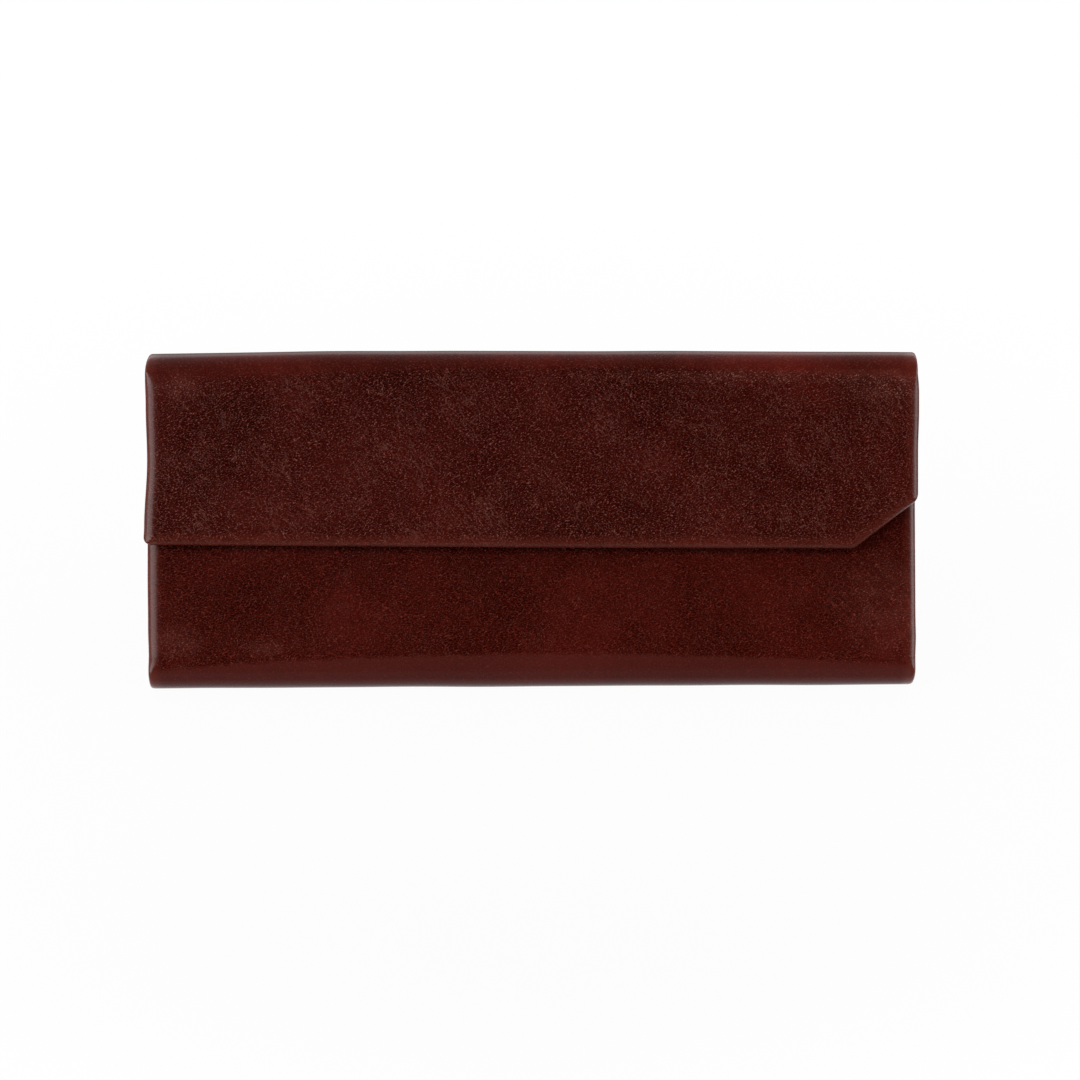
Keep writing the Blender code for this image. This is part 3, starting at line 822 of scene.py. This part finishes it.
class Panel:
    # one stiff side of the case. Edges in foldEdges go on into a fold, and sides, which is set
    # later, gives the numbers of the loop's points that are the grid's four corners.

    def __init__(self, span, corners, foldEdges, pieces):
        self.start = spans[span][0]
        self.corners = corners
        self.endHalf = max(corner[0] for corner in corners)
        self.foldEdges = foldEdges
        self.foldY = [corners[i][1] for i in foldEdges]
        count = len(corners)
        self.shares = []
        for i in range(count):
            here, there = np.array(corners[i][:2]), np.array(corners[(i + 1) % count][:2])
            fromFold = (i - 1) % count in foldEdges
            toFold = (i + 1) % count in foldEdges
            length = np.linalg.norm(there - here)
            self.shares.append(evenShares(length, pieces[i], fromFold, toFold))
        self.cornerAt = []
        at = 0
        for i in range(count):
            self.cornerAt.append(at)
            at += (cornerSteps if corners[i][2] > 0 else 0) + pieces[i]
        self.loopLength = at
        # the loop's edges that belong to a fold
        self.isFold = np.zeros(at, bool)
        for i in foldEdges:
            self.isFold[self.cornerAt[i] : self.cornerAt[i] + pieces[i]] = True

    def loop(self, inset, foldInset=0.0):
        distances = [foldInset if i in self.foldEdges else inset for i in range(len(self.corners))]
        return outlineLoop(self.corners, distances, self.shares)

    def grid(self, loop):
        # numbers of the loop's points along each side, and the grid of points between them
        low, right, top, left = self.sides
        order = [
            np.arange(low, right + 1),
            np.arange(right, top + 1),
            np.arange(top, left + 1)[::-1],
            np.arange(left, low + self.loopLength + 1)[::-1],
        ]
        order = [o % self.loopLength for o in order]
        return order, coonsPatch(*[loop[o] for o in order])

    def foldDistance(self, points, beyond=0.0):
        # to the nearest fold, or to a line this far beyond it
        distance = np.full(points.shape[:-1], farAway)
        for y in self.foldY:
            line = y + beyond if y > 0 else y - beyond
            distance = np.minimum(distance, np.abs(points[..., 1] - line))
        return distance

    def freeDistance(self, points):
        # to the nearest edge that isn't a fold
        distance = np.full(points.shape[:-1], farAway)
        for i, corner in enumerate(self.corners):
            if i not in self.foldEdges:
                here = np.array(corner[:2], float)
                along = np.array(self.corners[(i + 1) % len(self.corners)][:2]) - here
                along = along / np.linalg.norm(along)
                away = points - here
                distance = np.minimum(distance, along[0] * away[..., 1] - along[1] * away[..., 0])
        return distance


cornerHalf = cornerSteps // 2
acrossPieces = 96
half = caseSizes["length"] / 2
flapHalf = flapWidth / 2
flapCut = {"along": 13.3, "up": 10.2, "radius": 3.0, "cornerRadius": 1.8}

flapRight = 18
flapChamfer = 12
flapBottom = acrossPieces
flap = Panel(
    "flap",
    [
        (-flapHalf, 0, flapCut["cornerRadius"]),
        (flapHalf - flapCut["along"], 0, flapCut["radius"]),
        (flapHalf, flapCut["up"], flapCut["radius"]),
        (flapHalf, flapLength, 0),
        (-flapHalf, flapLength, 0),
    ],
    (3,),
    [
        flapBottom,
        flapChamfer,
        flapRight,
        cornerHalf + flapBottom + cornerSteps + flapChamfer // 2,
        flapChamfer // 2 + cornerHalf + flapRight,
    ],
)
flap.sides = (
    cornerHalf,
    flap.cornerAt[1] + cornerSteps + flapChamfer // 2,
    flap.cornerAt[3],
    flap.cornerAt[4],
)
wallSide = 24
frontWall = Panel(
    "frontWall",
    [
        (-half, 0, 0),
        (half, 0, 0),
        (half, caseSizes["frontWallHeight"], flapCut["cornerRadius"]),
        (-half, caseSizes["frontWallHeight"], flapCut["cornerRadius"]),
    ],
    (0,),
    [acrossPieces + cornerSteps, wallSide, acrossPieces, wallSide],
)
frontWall.sides = (
    0,
    frontWall.cornerAt[1],
    frontWall.cornerAt[2] + cornerHalf,
    frontWall.cornerAt[3] + cornerHalf,
)
lidSide = 38
lid = Panel(
    "lid",
    [(-half, 0, 0), (half, 0, 0), (half, lidHeight, 0), (-half, lidHeight, 0)],
    (0, 2),
    [acrossPieces, lidSide, acrossPieces, lidSide],
)
baseSide = 36
base = Panel(
    "base",
    [(-half, 0, 0), (half, 0, 0), (half, caseSizes["baseDepth"], 0), (-half, caseSizes["baseDepth"], 0)],
    (0, 2),
    [acrossPieces, baseSide, acrossPieces, baseSide],
)
for plain in (lid, base):
    plain.sides = tuple(plain.cornerAt)

rollSizes = {
    "radius": 1.45,  # of the leather round the board's edge
    "shoulder": 2.7,  # how far in the roll starts at the two ends of the case
    "face": 2.9,
    "faceStep": 2.15,
    "inner": 0.55,
    "stripWidth": 8.0,  # of the leather turned in behind the board
    "stripRings": (3.4, 5.4),
    "stripEdge": 0.2,  # how far its cut edge is rounded over, and how deep
    "stripFall": 0.12,
    "steps": 4,
    "innerSteps": 9,
    "boardEnd": 0.32,
    "atFolds": {  # radius and shoulder there, how far before a fold they change, and over what length
        "topFold": (0.45, 0.6, 2.4, 2.4),
        "rearFold": (0.5, 0.8, 0.0, 4.0),
        "frontFold": (0.5, 0.8, 0.0, 4.0),
    },
}


def rollAt(v):
    # radius and shoulder of the rolled ends at this place along the sheet
    radius, shoulder = rollSizes["radius"] + 0 * v, rollSizes["shoulder"] + 0 * v
    for span, (foldRadius, foldShoulder, before, length) in rollSizes["atFolds"].items():
        low, high = spans[span]
        share = smooth(np.minimum(v - low + before, high + before - v) / length)
        radius = radius + (foldRadius - rollSizes["radius"]) * share
        shoulder = shoulder + (foldShoulder - rollSizes["shoulder"]) * share
    return radius, shoulder


def rollDepth(distance, shoulder, radius):
    # how far a rolled edge has fallen at this distance from its outermost line
    t = np.clip(1 - distance / shoulder, 0, 1)
    return radius * (1 - np.sqrt(1 - t**2))


def edgeThickness(distance):
    # the panel's thickness, which drops to the fold's where the board ends
    t = np.clip(distance / rollSizes["boardEnd"], 0, 1)
    drop = layerSizes["underTurnIn"] - layerSizes["fold"]
    return layerSizes["fold"] + drop * np.sqrt(1 - (1 - t) ** 2)


def ringedPiece(panel, name, material, rings, foldInset=0.0, textureDepth=0.0):
    # a closed thin piece: a grid inside the first ring, the rings round its free edges and a grid
    # inside the last. A ring is its inset, its depth at given points, how rubbed it is (which also paints a
    # highlight), and how far from the first ring it lies on the flat sheet.
    draft = MeshDraft()
    first = panel.loop(rings[0][0], foldInset)
    wider = panel.loop(rings[0][0] - 1.0, foldInset)  # 1 mm further out
    outwards = wider - first
    outwards /= np.maximum(np.linalg.norm(outwards, axis=1, keepdims=True), weldDistance)
    count = panel.loopLength
    onFold = panel.isFold | np.roll(panel.isFold, 1)
    outwards[onFold, 1] = 0
    rows = []
    for inset, depth, rub, along in rings:
        loop = panel.loop(inset, foldInset)
        place = onSheet(loop[:, 0], panel.start + loop[:, 1], depth(loop))
        flat = first + outwards * along
        texture = np.column_stack([flat, np.full(count, textureDepth)]) + (0, panel.start, 0)
        rows.append(draft.add(place, texture, rub))
    rows = np.array(rows)
    last = len(rings) - 1
    for i in range(count):
        j = (i + 1) % count
        if panel.isFold[i]:
            draft.faces.append([rows[0, i], rows[0, j], rows[-1, j], rows[-1, i]])
        else:
            draft.fill(rows[:, [i, j]])
        if panel.isFold[i] != panel.isFold[i - 1]:  # the open end of a rolled edge
            for k in range(len(rings) // 2):
                m = last - k
                draft.faces.append([rows[k, i], rows[k + 1, i], rows[m - 1, i], rows[m, i]])
    for edge in (0, -1):
        inset, depth = rings[edge][:2]
        order, grid = panel.grid(panel.loop(inset, foldInset))
        x, v = grid[..., 0], panel.start + grid[..., 1]
        place = onSheet(x, v, depth(grid))
        texture = np.stack([x, v, np.full(x.shape, textureDepth)], -1)
        numbers = draft.add(place, texture, 0)
        low, right, top, left = (rows[edge][o] for o in order)
        numbers[0, :], numbers[:, -1], numbers[-1, :], numbers[:, 0] = low, right, top, left
        draft.fill(numbers)
    return draft.make(name, material)


def makeLeather(panel, name, material):
    # outer face, rolled edge, turned-in strip and the inner face behind it, as one closed skin
    radius, steps, innerSteps = (rollSizes[key] for key in ("radius", "steps", "innerSteps"))
    stripEnd, stripRings = rollSizes["stripWidth"], rollSizes["stripRings"]
    skin = layerSizes["leather"]

    def thickness(points):
        return edgeThickness(panel.foldDistance(points))

    def face(points):
        rolled, shoulder = rollAt(panel.start + points[..., 1])
        fromEnd = panel.endHalf - np.abs(points[..., 0])
        endFall = rollDepth(fromEnd, shoulder, rolled)
        return np.maximum(rollDepth(panel.freeDistance(points), rolled, rolled), endFall)

    def below(share):
        def depth(points):
            rolled = rollAt(panel.start + points[..., 1])[0]
            return rolled + (thickness(points) - rolled) * share

        return depth

    def under(rise):
        return lambda points: thickness(points) - rise

    def inside(share):
        # round the inner side of the rolled edge, from the strip at 1 to the outer skin at -1
        def depth(points):
            stripTop = thickness(points) - layerSizes["turnIn"]
            return (stripTop + skin) / 2 + (stripTop - skin) / 2 * share

        return depth

    faceInset, nextInset = rollSizes["face"], rollSizes["faceStep"]
    rings = [(faceInset, face, 0, 0), (nextInset, face, 1 - nextInset / faceInset, faceInset - nextInset)]
    walked = faceInset - radius
    for a in np.linspace(0, math.pi / 2, steps + 1):
        inset = radius * (1 - math.sin(a))
        rings.append((inset, face, 1 - inset / faceInset, walked + radius * a))
    walked += radius * math.pi / 2
    for a in np.linspace(0, math.pi / 2, steps + 1)[1:]:
        inset = radius * (1 - math.cos(a))
        rings.append((inset, below(math.sin(a)), math.cos(a), walked + radius * a))
    walked += radius * math.pi / 2 - radius
    for inset in (*stripRings, stripEnd - rollSizes["stripEdge"]):
        rings.append((inset, under(0), 0, walked + inset))
    rings.append((stripEnd, under(rollSizes["stripFall"]), 0, walked + stripEnd))
    for inset in (stripEnd, *stripRings[::-1], radius):
        rings.append((inset, under(layerSizes["turnIn"]), 0, stripEnd))
    for a in np.linspace(0, math.pi, innerSteps + 1)[1:]:
        rings.append((radius - rollSizes["inner"] * math.sin(a), inside(math.cos(a)), 0, stripEnd))
    return ringedPiece(panel, name, material, rings)


liningSizes = {
    "margin": 1.8,
    "edge": 0.2,  # how far its cut edge is rounded over
    "thickness": 0.4,
    "stepDown": 0.28,  # where the turned-in leather under it ends
    "stepAt": 7.5,
    "stepWidth": 1.6,
    "lip": 0.2,  # it goes on over the end of the board by this much
    "seenLip": (2.05, 0.34),  # depth there and rounding, of the face that is seen and of its back
    "hiddenLip": (1.72, 0.42),
    "edgeRings": (  # inset, share of the seen face's depth, and place along the cloth
        (1.0, 1.0, 0.0),
        (0.25, 0.82, 0.8),
        (0.05, 0.65, 1.1),
        (0.0, 0.5, 1.3),
        (0.25, 0.18, 1.8),
        (1.0, 0.0, 2.6),
    ),
    "fibreShift": 20.0,  # sets its pattern apart from the leather's
}


def makeLining(panel, name, material):
    # glued over the turned-in edge and the board, and down over the board's ends at the folds
    sizes = liningSizes
    edge = sizes["edge"]

    def depthOf(deep, lipDepth, roundness):
        def depth(points):
            pastStrip = (panel.freeDistance(points) - sizes["stepAt"]) / sizes["stepWidth"]
            fall = sizes["stepDown"] * smooth(pastStrip)
            fromEnd = np.clip(panel.foldDistance(points, sizes["lip"]) / roundness, 0, 1)
            return lipDepth + (deep - fall - lipDepth) * np.sqrt(1 - (1 - fromEnd) ** 2)

        return depth

    seen = depthOf(layerSizes["panel"], *sizes["seenLip"])
    hidden = depthOf(layerSizes["panel"] - sizes["thickness"], *sizes["hiddenLip"])

    def between(share):
        return lambda points: seen(points) * share + hidden(points) * (1 - share)

    rings = []
    for inset, share, along in sizes["edgeRings"]:
        rings.append((sizes["margin"] + inset * edge, between(share), 0, along * edge))
    return ringedPiece(panel, name, material, rings, -sizes["lip"], sizes["fibreShift"])


# Folds: a soft strap of leather with rolled ends, and the lining pressed into it

foldShape = {
    "endSteps": 4,
    "stations": 28,
    "liningMargin": 1.8,
    "liningDepth": 1.66,
    "lining": 0.38,
    "liningEdge": 0.19,
    "bendFrom": 0.08,  # how far in from its ends a fold starts to bend, as a share of its chord
}


def makeStrap(name, span, widths, depths, edge, material, alongPieces):
    # a closed strap across a fold. widths is half the length at its start and end, depths its
    # outer and inner side, and edge the rounding of its ends, or nothing for rolled ends.
    draft = MeshDraft()
    low, high = spans[span]
    over, under = depths
    quarter = np.linspace(0, math.pi / 2, foldShape["endSteps"] + 1)
    rows = []
    for t in np.linspace(0, 1, foldShape["stations"] + 1):
        v = low + (high - low) * t
        width = widths[0] + (widths[1] - widths[0]) * float(smooth(t))
        radius, shoulder = (edge, edge) if edge else (float(q) for q in rollAt(v))
        underRadius = edge or rollSizes["radius"]
        rest = under - over - radius
        face = width - rollSizes["face"]
        distances = [rollSizes["faceStep"], *(rollSizes["radius"] * (1 - np.sin(quarter)))]
        end = []  # x, depth, place along the texture and rub with its painted highlight, from the face round to the under side
        for distance in distances:
            fall = float(rollDepth(distance, shoulder, radius))
            worn = 1 - distance / rollSizes["face"]
            end.append((width - distance, over + fall, width - distance + fall / 2, worn))
        outermost = end[-1][2]
        for a in quarter[1:]:
            x = width - underRadius * (1 - math.cos(a))
            end.append((x, over + radius + rest * math.sin(a), outermost + underRadius * a, math.cos(a)))
        turned = end[-1][2]
        inner = np.linspace(face, -face, alongPieces + 1)
        points = [(x, over, x, 0.0) for x in -inner]
        points += end
        points += [(x, under, turned + (width - underRadius - x), 0.0) for x in inner]
        points += [(-x, d, -tx, worn) for x, d, tx, worn in end[::-1]]
        xs, ds, tx, rub = np.array(points).T
        texture = np.column_stack([tx, np.full(len(tx), v), np.zeros(len(tx))])
        rows.append(draft.add(onSheet(xs, v, ds), texture, rub))
    rows = np.array(rows)
    draft.fill(rows, closed=True)
    for row in (rows[0], rows[-1]):
        draft.faces.append(row.tolist())
    return draft.make(name, material)


print("helpers ready")

panels = {  # and their bodies, whose names start those of their nodes
    "flap": (flap, "flap"),
    "frontWall": (frontWall, "front_wall"),
    "lid": (lid, "lid"),
    "base": (base, "base"),
}
layers = {
    "leather": (makeLeather, calfLeather, "leather"),
    "lining": (makeLining, microfibre, "microfibre"),
}
for layer, (makeLayer, material, slot) in layers.items():
    for name, (panel, body) in panels.items():
        piece = makeLayer(panel, name + layer.title(), material)
        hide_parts(f"{body}_{layer}")
        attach(piece, body)
print("panels made")

folds = {  # node, half the length at the start and the end, and the bodies there
    "topFold": ("top_fold", (flapHalf, half), "flap", "lid"),
    "rearFold": ("rear_fold", (half, half), "lid", "base"),
    "frontFold": ("front_fold", (half, half), "base", "front_wall"),
}


def acrossFold(piece, span, depth):
    # bakes the piece's transform into its mesh; the fold's start and end on the sheet are worked out but
    # not used
    start, end = (onSheet(0.0, v, depth) * mm for v in spans[span])
    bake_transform(piece)


for span, (node, widths, first, last) in folds.items():
    depths = (0.0, layerSizes["fold"])
    strap = makeStrap(span + "Leather", span, widths, depths, None, calfLeather, acrossPieces)
    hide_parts(node + "_leather")
    acrossFold(strap, span, layerSizes["fold"] / 2)
    widths = tuple(width - foldShape["liningMargin"] for width in widths)
    inner = foldShape["liningDepth"]
    depths = (inner, inner + foldShape["lining"])
    edge = foldShape["liningEdge"]
    gutter = makeStrap(span + "Lining", span, widths, depths, edge, microfibre, acrossPieces)
    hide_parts(node + "_lining")
    acrossFold(gutter, span, inner)

# the linings are cloth, cut to the panels and glued down; each panel's lining and its outline are looked up
# here, and nothing more is done with them
for name, (panel, body) in panels.items():
    piece = bpy.data.objects[name + "Lining"]
    outline = panel.loop(liningSizes["margin"], -liningSizes["lip"])
print("folds made")

# End walls: soft leather with a crease that folds inwards, and a lining behind it

gussetSizes = {
    "outerX": 77.0,
    "leather": 0.7,
    "lining": 0.4,
    "glueGap": 0.1,
    "above": 0.3,  # its grid stands this far off the linings, and its rounded edge fills that
    "creaseDepth": 3.0,
    "creaseSoftness": 0.9,
    "narrowCorner": 0.8,
    "lidClearance": 1.0,
    "rimDrop": 1.2,
    "liningDrop": 1.1,
    "edge": 0.28,
    "edgeSteps": 6,
    "rub": 0.5,  # of its edge
    "along": (28, 16),  # grid pieces up the front wall and along the rim
    "across": 26,
    "creaseRounding": 0.15,  # share of its softness
    "rippleHeight": 0.16,
    "rippleTurn": 0.55,  # radians per mm
    "rippleStart": 1.1,
    "rippleFades": (5.0, 20.0),  # mm from the case's faces and from the crease's lower end
    "grainShift": 50.0,  # sets its pattern apart from the other end's
    "flatten": 0.022,
    "flattenRise": 0.05,
}


def makeGusset(name, direction, part, material):
    sizes = gussetSizes
    lining = part == "lining"
    trim = sizes["liningDrop"] if lining else 0.0
    backwards, wallUp = inSection(0), inSection(caseSizes["frontLean"])
    wallIn, lidOut = -inSection(wallNormal), inSection(lidNormal)
    onBase = np.array([frontCentre[0], layerSizes["panel"] + sizes["above"]])
    onWall = frontCentre - wallIn * (caseSizes["frontRadius"] - layerSizes["panel"] - sizes["above"])
    lidLimit = lidOut @ rearCentre + caseSizes["rearRadius"] - layerSizes["panel"]
    lidLimit -= sizes["lidClearance"] + trim

    def meetLid(start, heading):
        return start + heading * (lidLimit - lidOut @ start) / (lidOut @ heading)

    nearBase = onBase + sizes["narrowCorner"] * backwards
    nearWall = onWall + sizes["narrowCorner"] * wallUp
    rimFront = onWall + wallUp * (caseSizes["frontWallHeight"] - sizes["rimDrop"] - trim)
    lowerBack = meetLid(nearBase, backwards)
    rimBack = meetLid(rimFront, backwards)
    creaseEnd = meetLid(frontCentre, inSection(caseSizes["frontLean"] / 2))
    slope = sizes["creaseDepth"] / (creaseEnd - onBase)[1]

    def side(start, end, pieces):
        return start + (end - start) * np.linspace(0, 1, pieces + 1)[:, None]

    up, along = sizes["along"]
    bottom = side(nearBase, lowerBack, up + along)
    top = np.vstack([side(nearWall, rimFront, up), side(rimFront, rimBack, along)[1:]])
    back = side(lowerBack, rimBack, sizes["across"])
    grid = coonsPatch(bottom, back, top, side(nearBase, nearWall, sizes["across"]))

    thick = sizes["lining"] if lining else sizes["leather"]
    outerX = sizes["outerX"] - (sizes["leather"] + sizes["glueGap"] if lining else 0.0)

    def place(points, inwards):
        fromBase = (points - onBase)[..., 1]
        fromWall = (points - onWall) @ wallIn
        soft = sizes["creaseSoftness"]
        nearest = -soft * np.log(np.exp(-fromBase / soft) + np.exp(-fromWall / soft))
        nearest = np.maximum(nearest + soft * sizes["creaseRounding"], 0)
        reach = np.linalg.norm(points - frontCentre, axis=-1)
        ripple = np.sin(reach * sizes["rippleTurn"] + direction * sizes["rippleStart"])
        for distance, fade in zip((nearest, reach), sizes["rippleFades"]):
            ripple = ripple * smooth(distance / fade)
        x = direction * (outerX - slope * nearest - inwards + sizes["rippleHeight"] * ripple)
        return np.stack([x, points[..., 0], points[..., 1]], -1)

    def texture(points):
        y, z = points[..., 0], points[..., 1]
        return np.stack([y, z, np.full(y.shape, sizes["grainShift"] * direction)], -1)

    draft = MeshDraft()
    rows = []
    border = np.concatenate([grid[0], grid[1:, -1], grid[-1, -2::-1], grid[-2:0:-1, 0]])
    ahead, behind = np.roll(border, -1, 0), np.roll(border, 1, 0)
    along = (ahead - behind) / np.linalg.norm(ahead - behind, axis=1, keepdims=True)
    outwards = np.column_stack([along[:, 1], -along[:, 0]])
    for a in np.linspace(0, math.pi, sizes["edgeSteps"] + 1):
        points = border + outwards * sizes["edge"] * math.sin(a)
        deep = thick / 2 * (1 - math.cos(a))
        rows.append(draft.add(place(points, deep), texture(points), sizes["rub"] * math.sin(a)))
    rows = np.array(rows)
    draft.fill(rows, closed=True)
    r, c = grid.shape[:2]
    for ring, deep in ((rows[0], 0.0), (rows[-1], thick)):
        numbers = draft.add(place(grid, deep), texture(grid), 0)
        numbers[0, :] = ring[:c]
        numbers[1:, -1] = ring[c : c + r - 1]
        numbers[-1, -2::-1] = ring[c + r - 1 : 2 * c + r - 2]
        numbers[-2:0:-1, 0] = ring[2 * c + r - 2 :]
        draft.fill(numbers)
    piece = draft.make(name, material)
    return piece


gussetLayers = {"leather": (softLeather, "leather"), "lining": (microfibre, "microfibre")}
for side, direction in (("left", -1), ("right", 1)):
    for part, (material, slot) in gussetLayers.items():
        piece = makeGusset(f"{side}Gusset{part.title()}", direction, part, material)
        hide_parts(f"gusset_{part}_{side}")
        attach(piece, "base")
        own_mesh(piece)
print("end walls made")


# Studio: white floor and backdrop, a large soft box above and one at each side

studio = {
    "floorReach": 3.0,  # m, as all lengths here
    "floorColour": "#e6e6e6",
    "floorWhiteShare": 0.96,  # how much of the floor's white isn't shaded by the object
    "shadowReach": (0.10, 0.22),  # from the case's middle
    "floorPale": (-0.20, -0.06),  # in front of the case, where the floor is dark and where white
    "glossyDepth": (-0.040, -0.033),  # between which leather mirrors less of the floor
    "glossyReach": (0.09, 0.13),
    "glossyLeast": 0.25,
    "darkTowards": (0.0, -0.87, 0.49),
    "darkCone": (-0.20, 0.90),  # cosines of its edge and of its full dark
    "worldLight": 0.97,
    "worldGlossy": 0.75,
    "lampAim": (0, 0, 0.03),
    "lamps": {  # place, size and watts
        "topBox": ((0, 0.84, 0.54), (1.5, 0.45), 3.0),
        "leftBox": ((-1.56, -1.10, 0.64), (1.4, 1.8), 33.0),
        "rightBox": ((1.94, -0.48, 0.32), (1.1, 1.6), 21.0),
    },
}


def makeLamp(name, place, size, watts):
    lamp = bpy.data.lights.new(name, "AREA")
    lamp.shape = "RECTANGLE"
    lamp.size, lamp.size_y = size
    lamp.energy = watts
    holder = bpy.data.objects.new(name, lamp)
    holder.location = place
    holder.rotation_mode = "QUATERNION"
    aim = Vector(studio["lampAim"]) - Vector(place)
    holder.rotation_quaternion = aim.to_track_quat("-Z", "Y")
    holder.visible_camera = False
    bpy.context.scene.collection.objects.link(holder)


def makeFloor():
    reach = studio["floorReach"]
    mesh = bpy.data.meshes.new("studioFloor")
    corners = [(-reach, -reach, 0), (reach, -reach, 0), (reach, reach, 0), (-reach, reach, 0)]
    mesh.from_pydata(corners, [], [(0, 1, 2, 3)])
    floor = bpy.data.objects.new("studioFloor", mesh)
    bpy.context.scene.collection.objects.link(floor)
    material, tree = newMaterial("paintedStudioFloor")
    rays = addNode(tree, "LightPath", {}).outputs
    seen = addNode(tree, "Math", largest, rays["Is Camera Ray"], rays["Is Transmission Ray"])
    place = addNode(tree, "NewGeometry", {}).outputs["Position"]
    depth = addNode(tree, "SeparateXYZ", {}, place).outputs["Y"]
    away = addNode(tree, "VectorMath", lengthOf, place)
    # white round the case, and past a line in front of it dark, as the room there is
    pale = addNode(tree, "MapRange", softStep, depth, *studio["floorPale"])
    # the white that leather mirrors is less in front of the case and far from it
    least = studio["glossyLeast"]
    behind = addNode(tree, "MapRange", softStep, depth, *studio["glossyDepth"], least, 1.0)
    near = addNode(tree, "MapRange", softStep, away, *studio["glossyReach"], 1.0, least)
    mirrored = rays["Is Glossy Ray"]
    for factor in (pale, behind, near):
        mirrored = addNode(tree, "Math", times, mirrored, factor)
    strength = addNode(tree, "Math", largest, seen, mirrored)
    white = addNode(tree, "Emission", {"Strength": strength})
    # near the case part of the white is paint, which takes its shadow
    least = studio["floorWhiteShare"]
    share = addNode(tree, "MapRange", softStep, away, *studio["shadowReach"], least, 1.0)
    shown = addNode(tree, "Math", largest, seen, rays["Is Glossy Ray"])
    share = addNode(tree, "Math", times, shown, share)
    colour = hexColour(studio["floorColour"])[:3]
    colour = addNode(tree, "VectorMath", {"operation": "SCALE", "Scale": pale}, colour)
    paint = addNode(tree, "BsdfDiffuse", {}, colour)
    mixed = addNode(tree, "MixShader", {}, share, paint, white)
    addNode(tree, "OutputMaterial", {}, mixed)
    material.cycles.emission_sampling = "NONE"
    mesh.materials.append(material)


def makeWorld():
    world = bpy.data.worlds.new("studioWorld")
    world.cycles.sampling_method = "NONE"  # sampled as a lamp, it would ignore what kind of ray asks
    bpy.context.scene.world = world
    world.use_nodes = True
    tree = world.node_tree
    tree.nodes.clear()
    rays = addNode(tree, "LightPath", {}).outputs
    seen = addNode(tree, "Math", largest, rays["Is Camera Ray"], rays["Is Transmission Ray"])
    # the room is dark in front of the case, as it is behind a camera, and white all round
    direction = addNode(tree, "TexCoord", {}).outputs["Generated"]
    front = addNode(tree, "VectorMath", {"operation": "DOT_PRODUCT"}, direction, studio["darkTowards"])
    pale = addNode(tree, "MapRange", softStep, front, *studio["darkCone"], 1.0, 0.0)
    levels = {firstNumber: studio["worldLight"], secondNumber: studio["worldGlossy"]}
    level = addNode(tree, "Mix", levels, rays["Is Glossy Ray"])
    level = addNode(tree, "Math", times, level, pale)
    strength = addNode(tree, "Math", largest, seen, level)
    white = addNode(tree, "Background", {"Color": (1, 1, 1, 1), "Strength": strength})
    addNode(tree, "OutputWorld", {}, white)


# Camera: far off and square onto the front face, as the photograph is
cameraView = {
    "elevation": 30.0,  # degrees
    "distance": 1000.0,
    "frameWidth": 225.3,
    "aimRight": 1.81,  # of the middle of the front face
    "aimDown": 4.58,
    "nearest": 50.0,  # that it draws
}


def makeCamera():
    view = cameraView
    tilt = math.radians(view["elevation"])
    towards = Vector((0, -math.cos(tilt), math.sin(tilt)))
    up = Vector((0, math.sin(tilt), math.cos(tilt)))
    top, bottom = Vector((0, *topCentre)), Vector((0, *frontCentre))
    highest = top.dot(up) + caseSizes["topRadius"]
    lowest = bottom.dot(up) - caseSizes["frontRadius"]
    foremost = top.dot(towards) + caseSizes["topRadius"]
    aim = up * ((lowest + highest) / 2 - view["aimDown"]) + towards * foremost
    aim.x = view["aimRight"]
    data = bpy.data.cameras.new("productCamera")
    data.lens = data.sensor_width * view["distance"] / view["frameWidth"]
    data.clip_start = view["nearest"] * mm
    camera = bpy.data.objects.new("productCamera", data)
    camera.location = (aim + towards * view["distance"]) * mm
    camera.rotation_mode = "QUATERNION"
    camera.rotation_quaternion = (-towards).to_track_quat("-Z", "Y")
    bpy.context.scene.collection.objects.link(camera)
    bpy.context.scene.camera = camera


makeFloor()
makeWorld()
makeCamera()
for name, (place, size, watts) in studio["lamps"].items():
    makeLamp(name, place, size, watts)
bpy.context.scene.view_settings.view_transform = "Standard"
print("studio made")

for name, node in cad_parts.items():
    if "magnet" in name or "board" in name:
        node.data.materials.clear()
        node.data.materials.append(nickelPlate if "magnet" in name else greyboard)
print("boards and magnets finished")
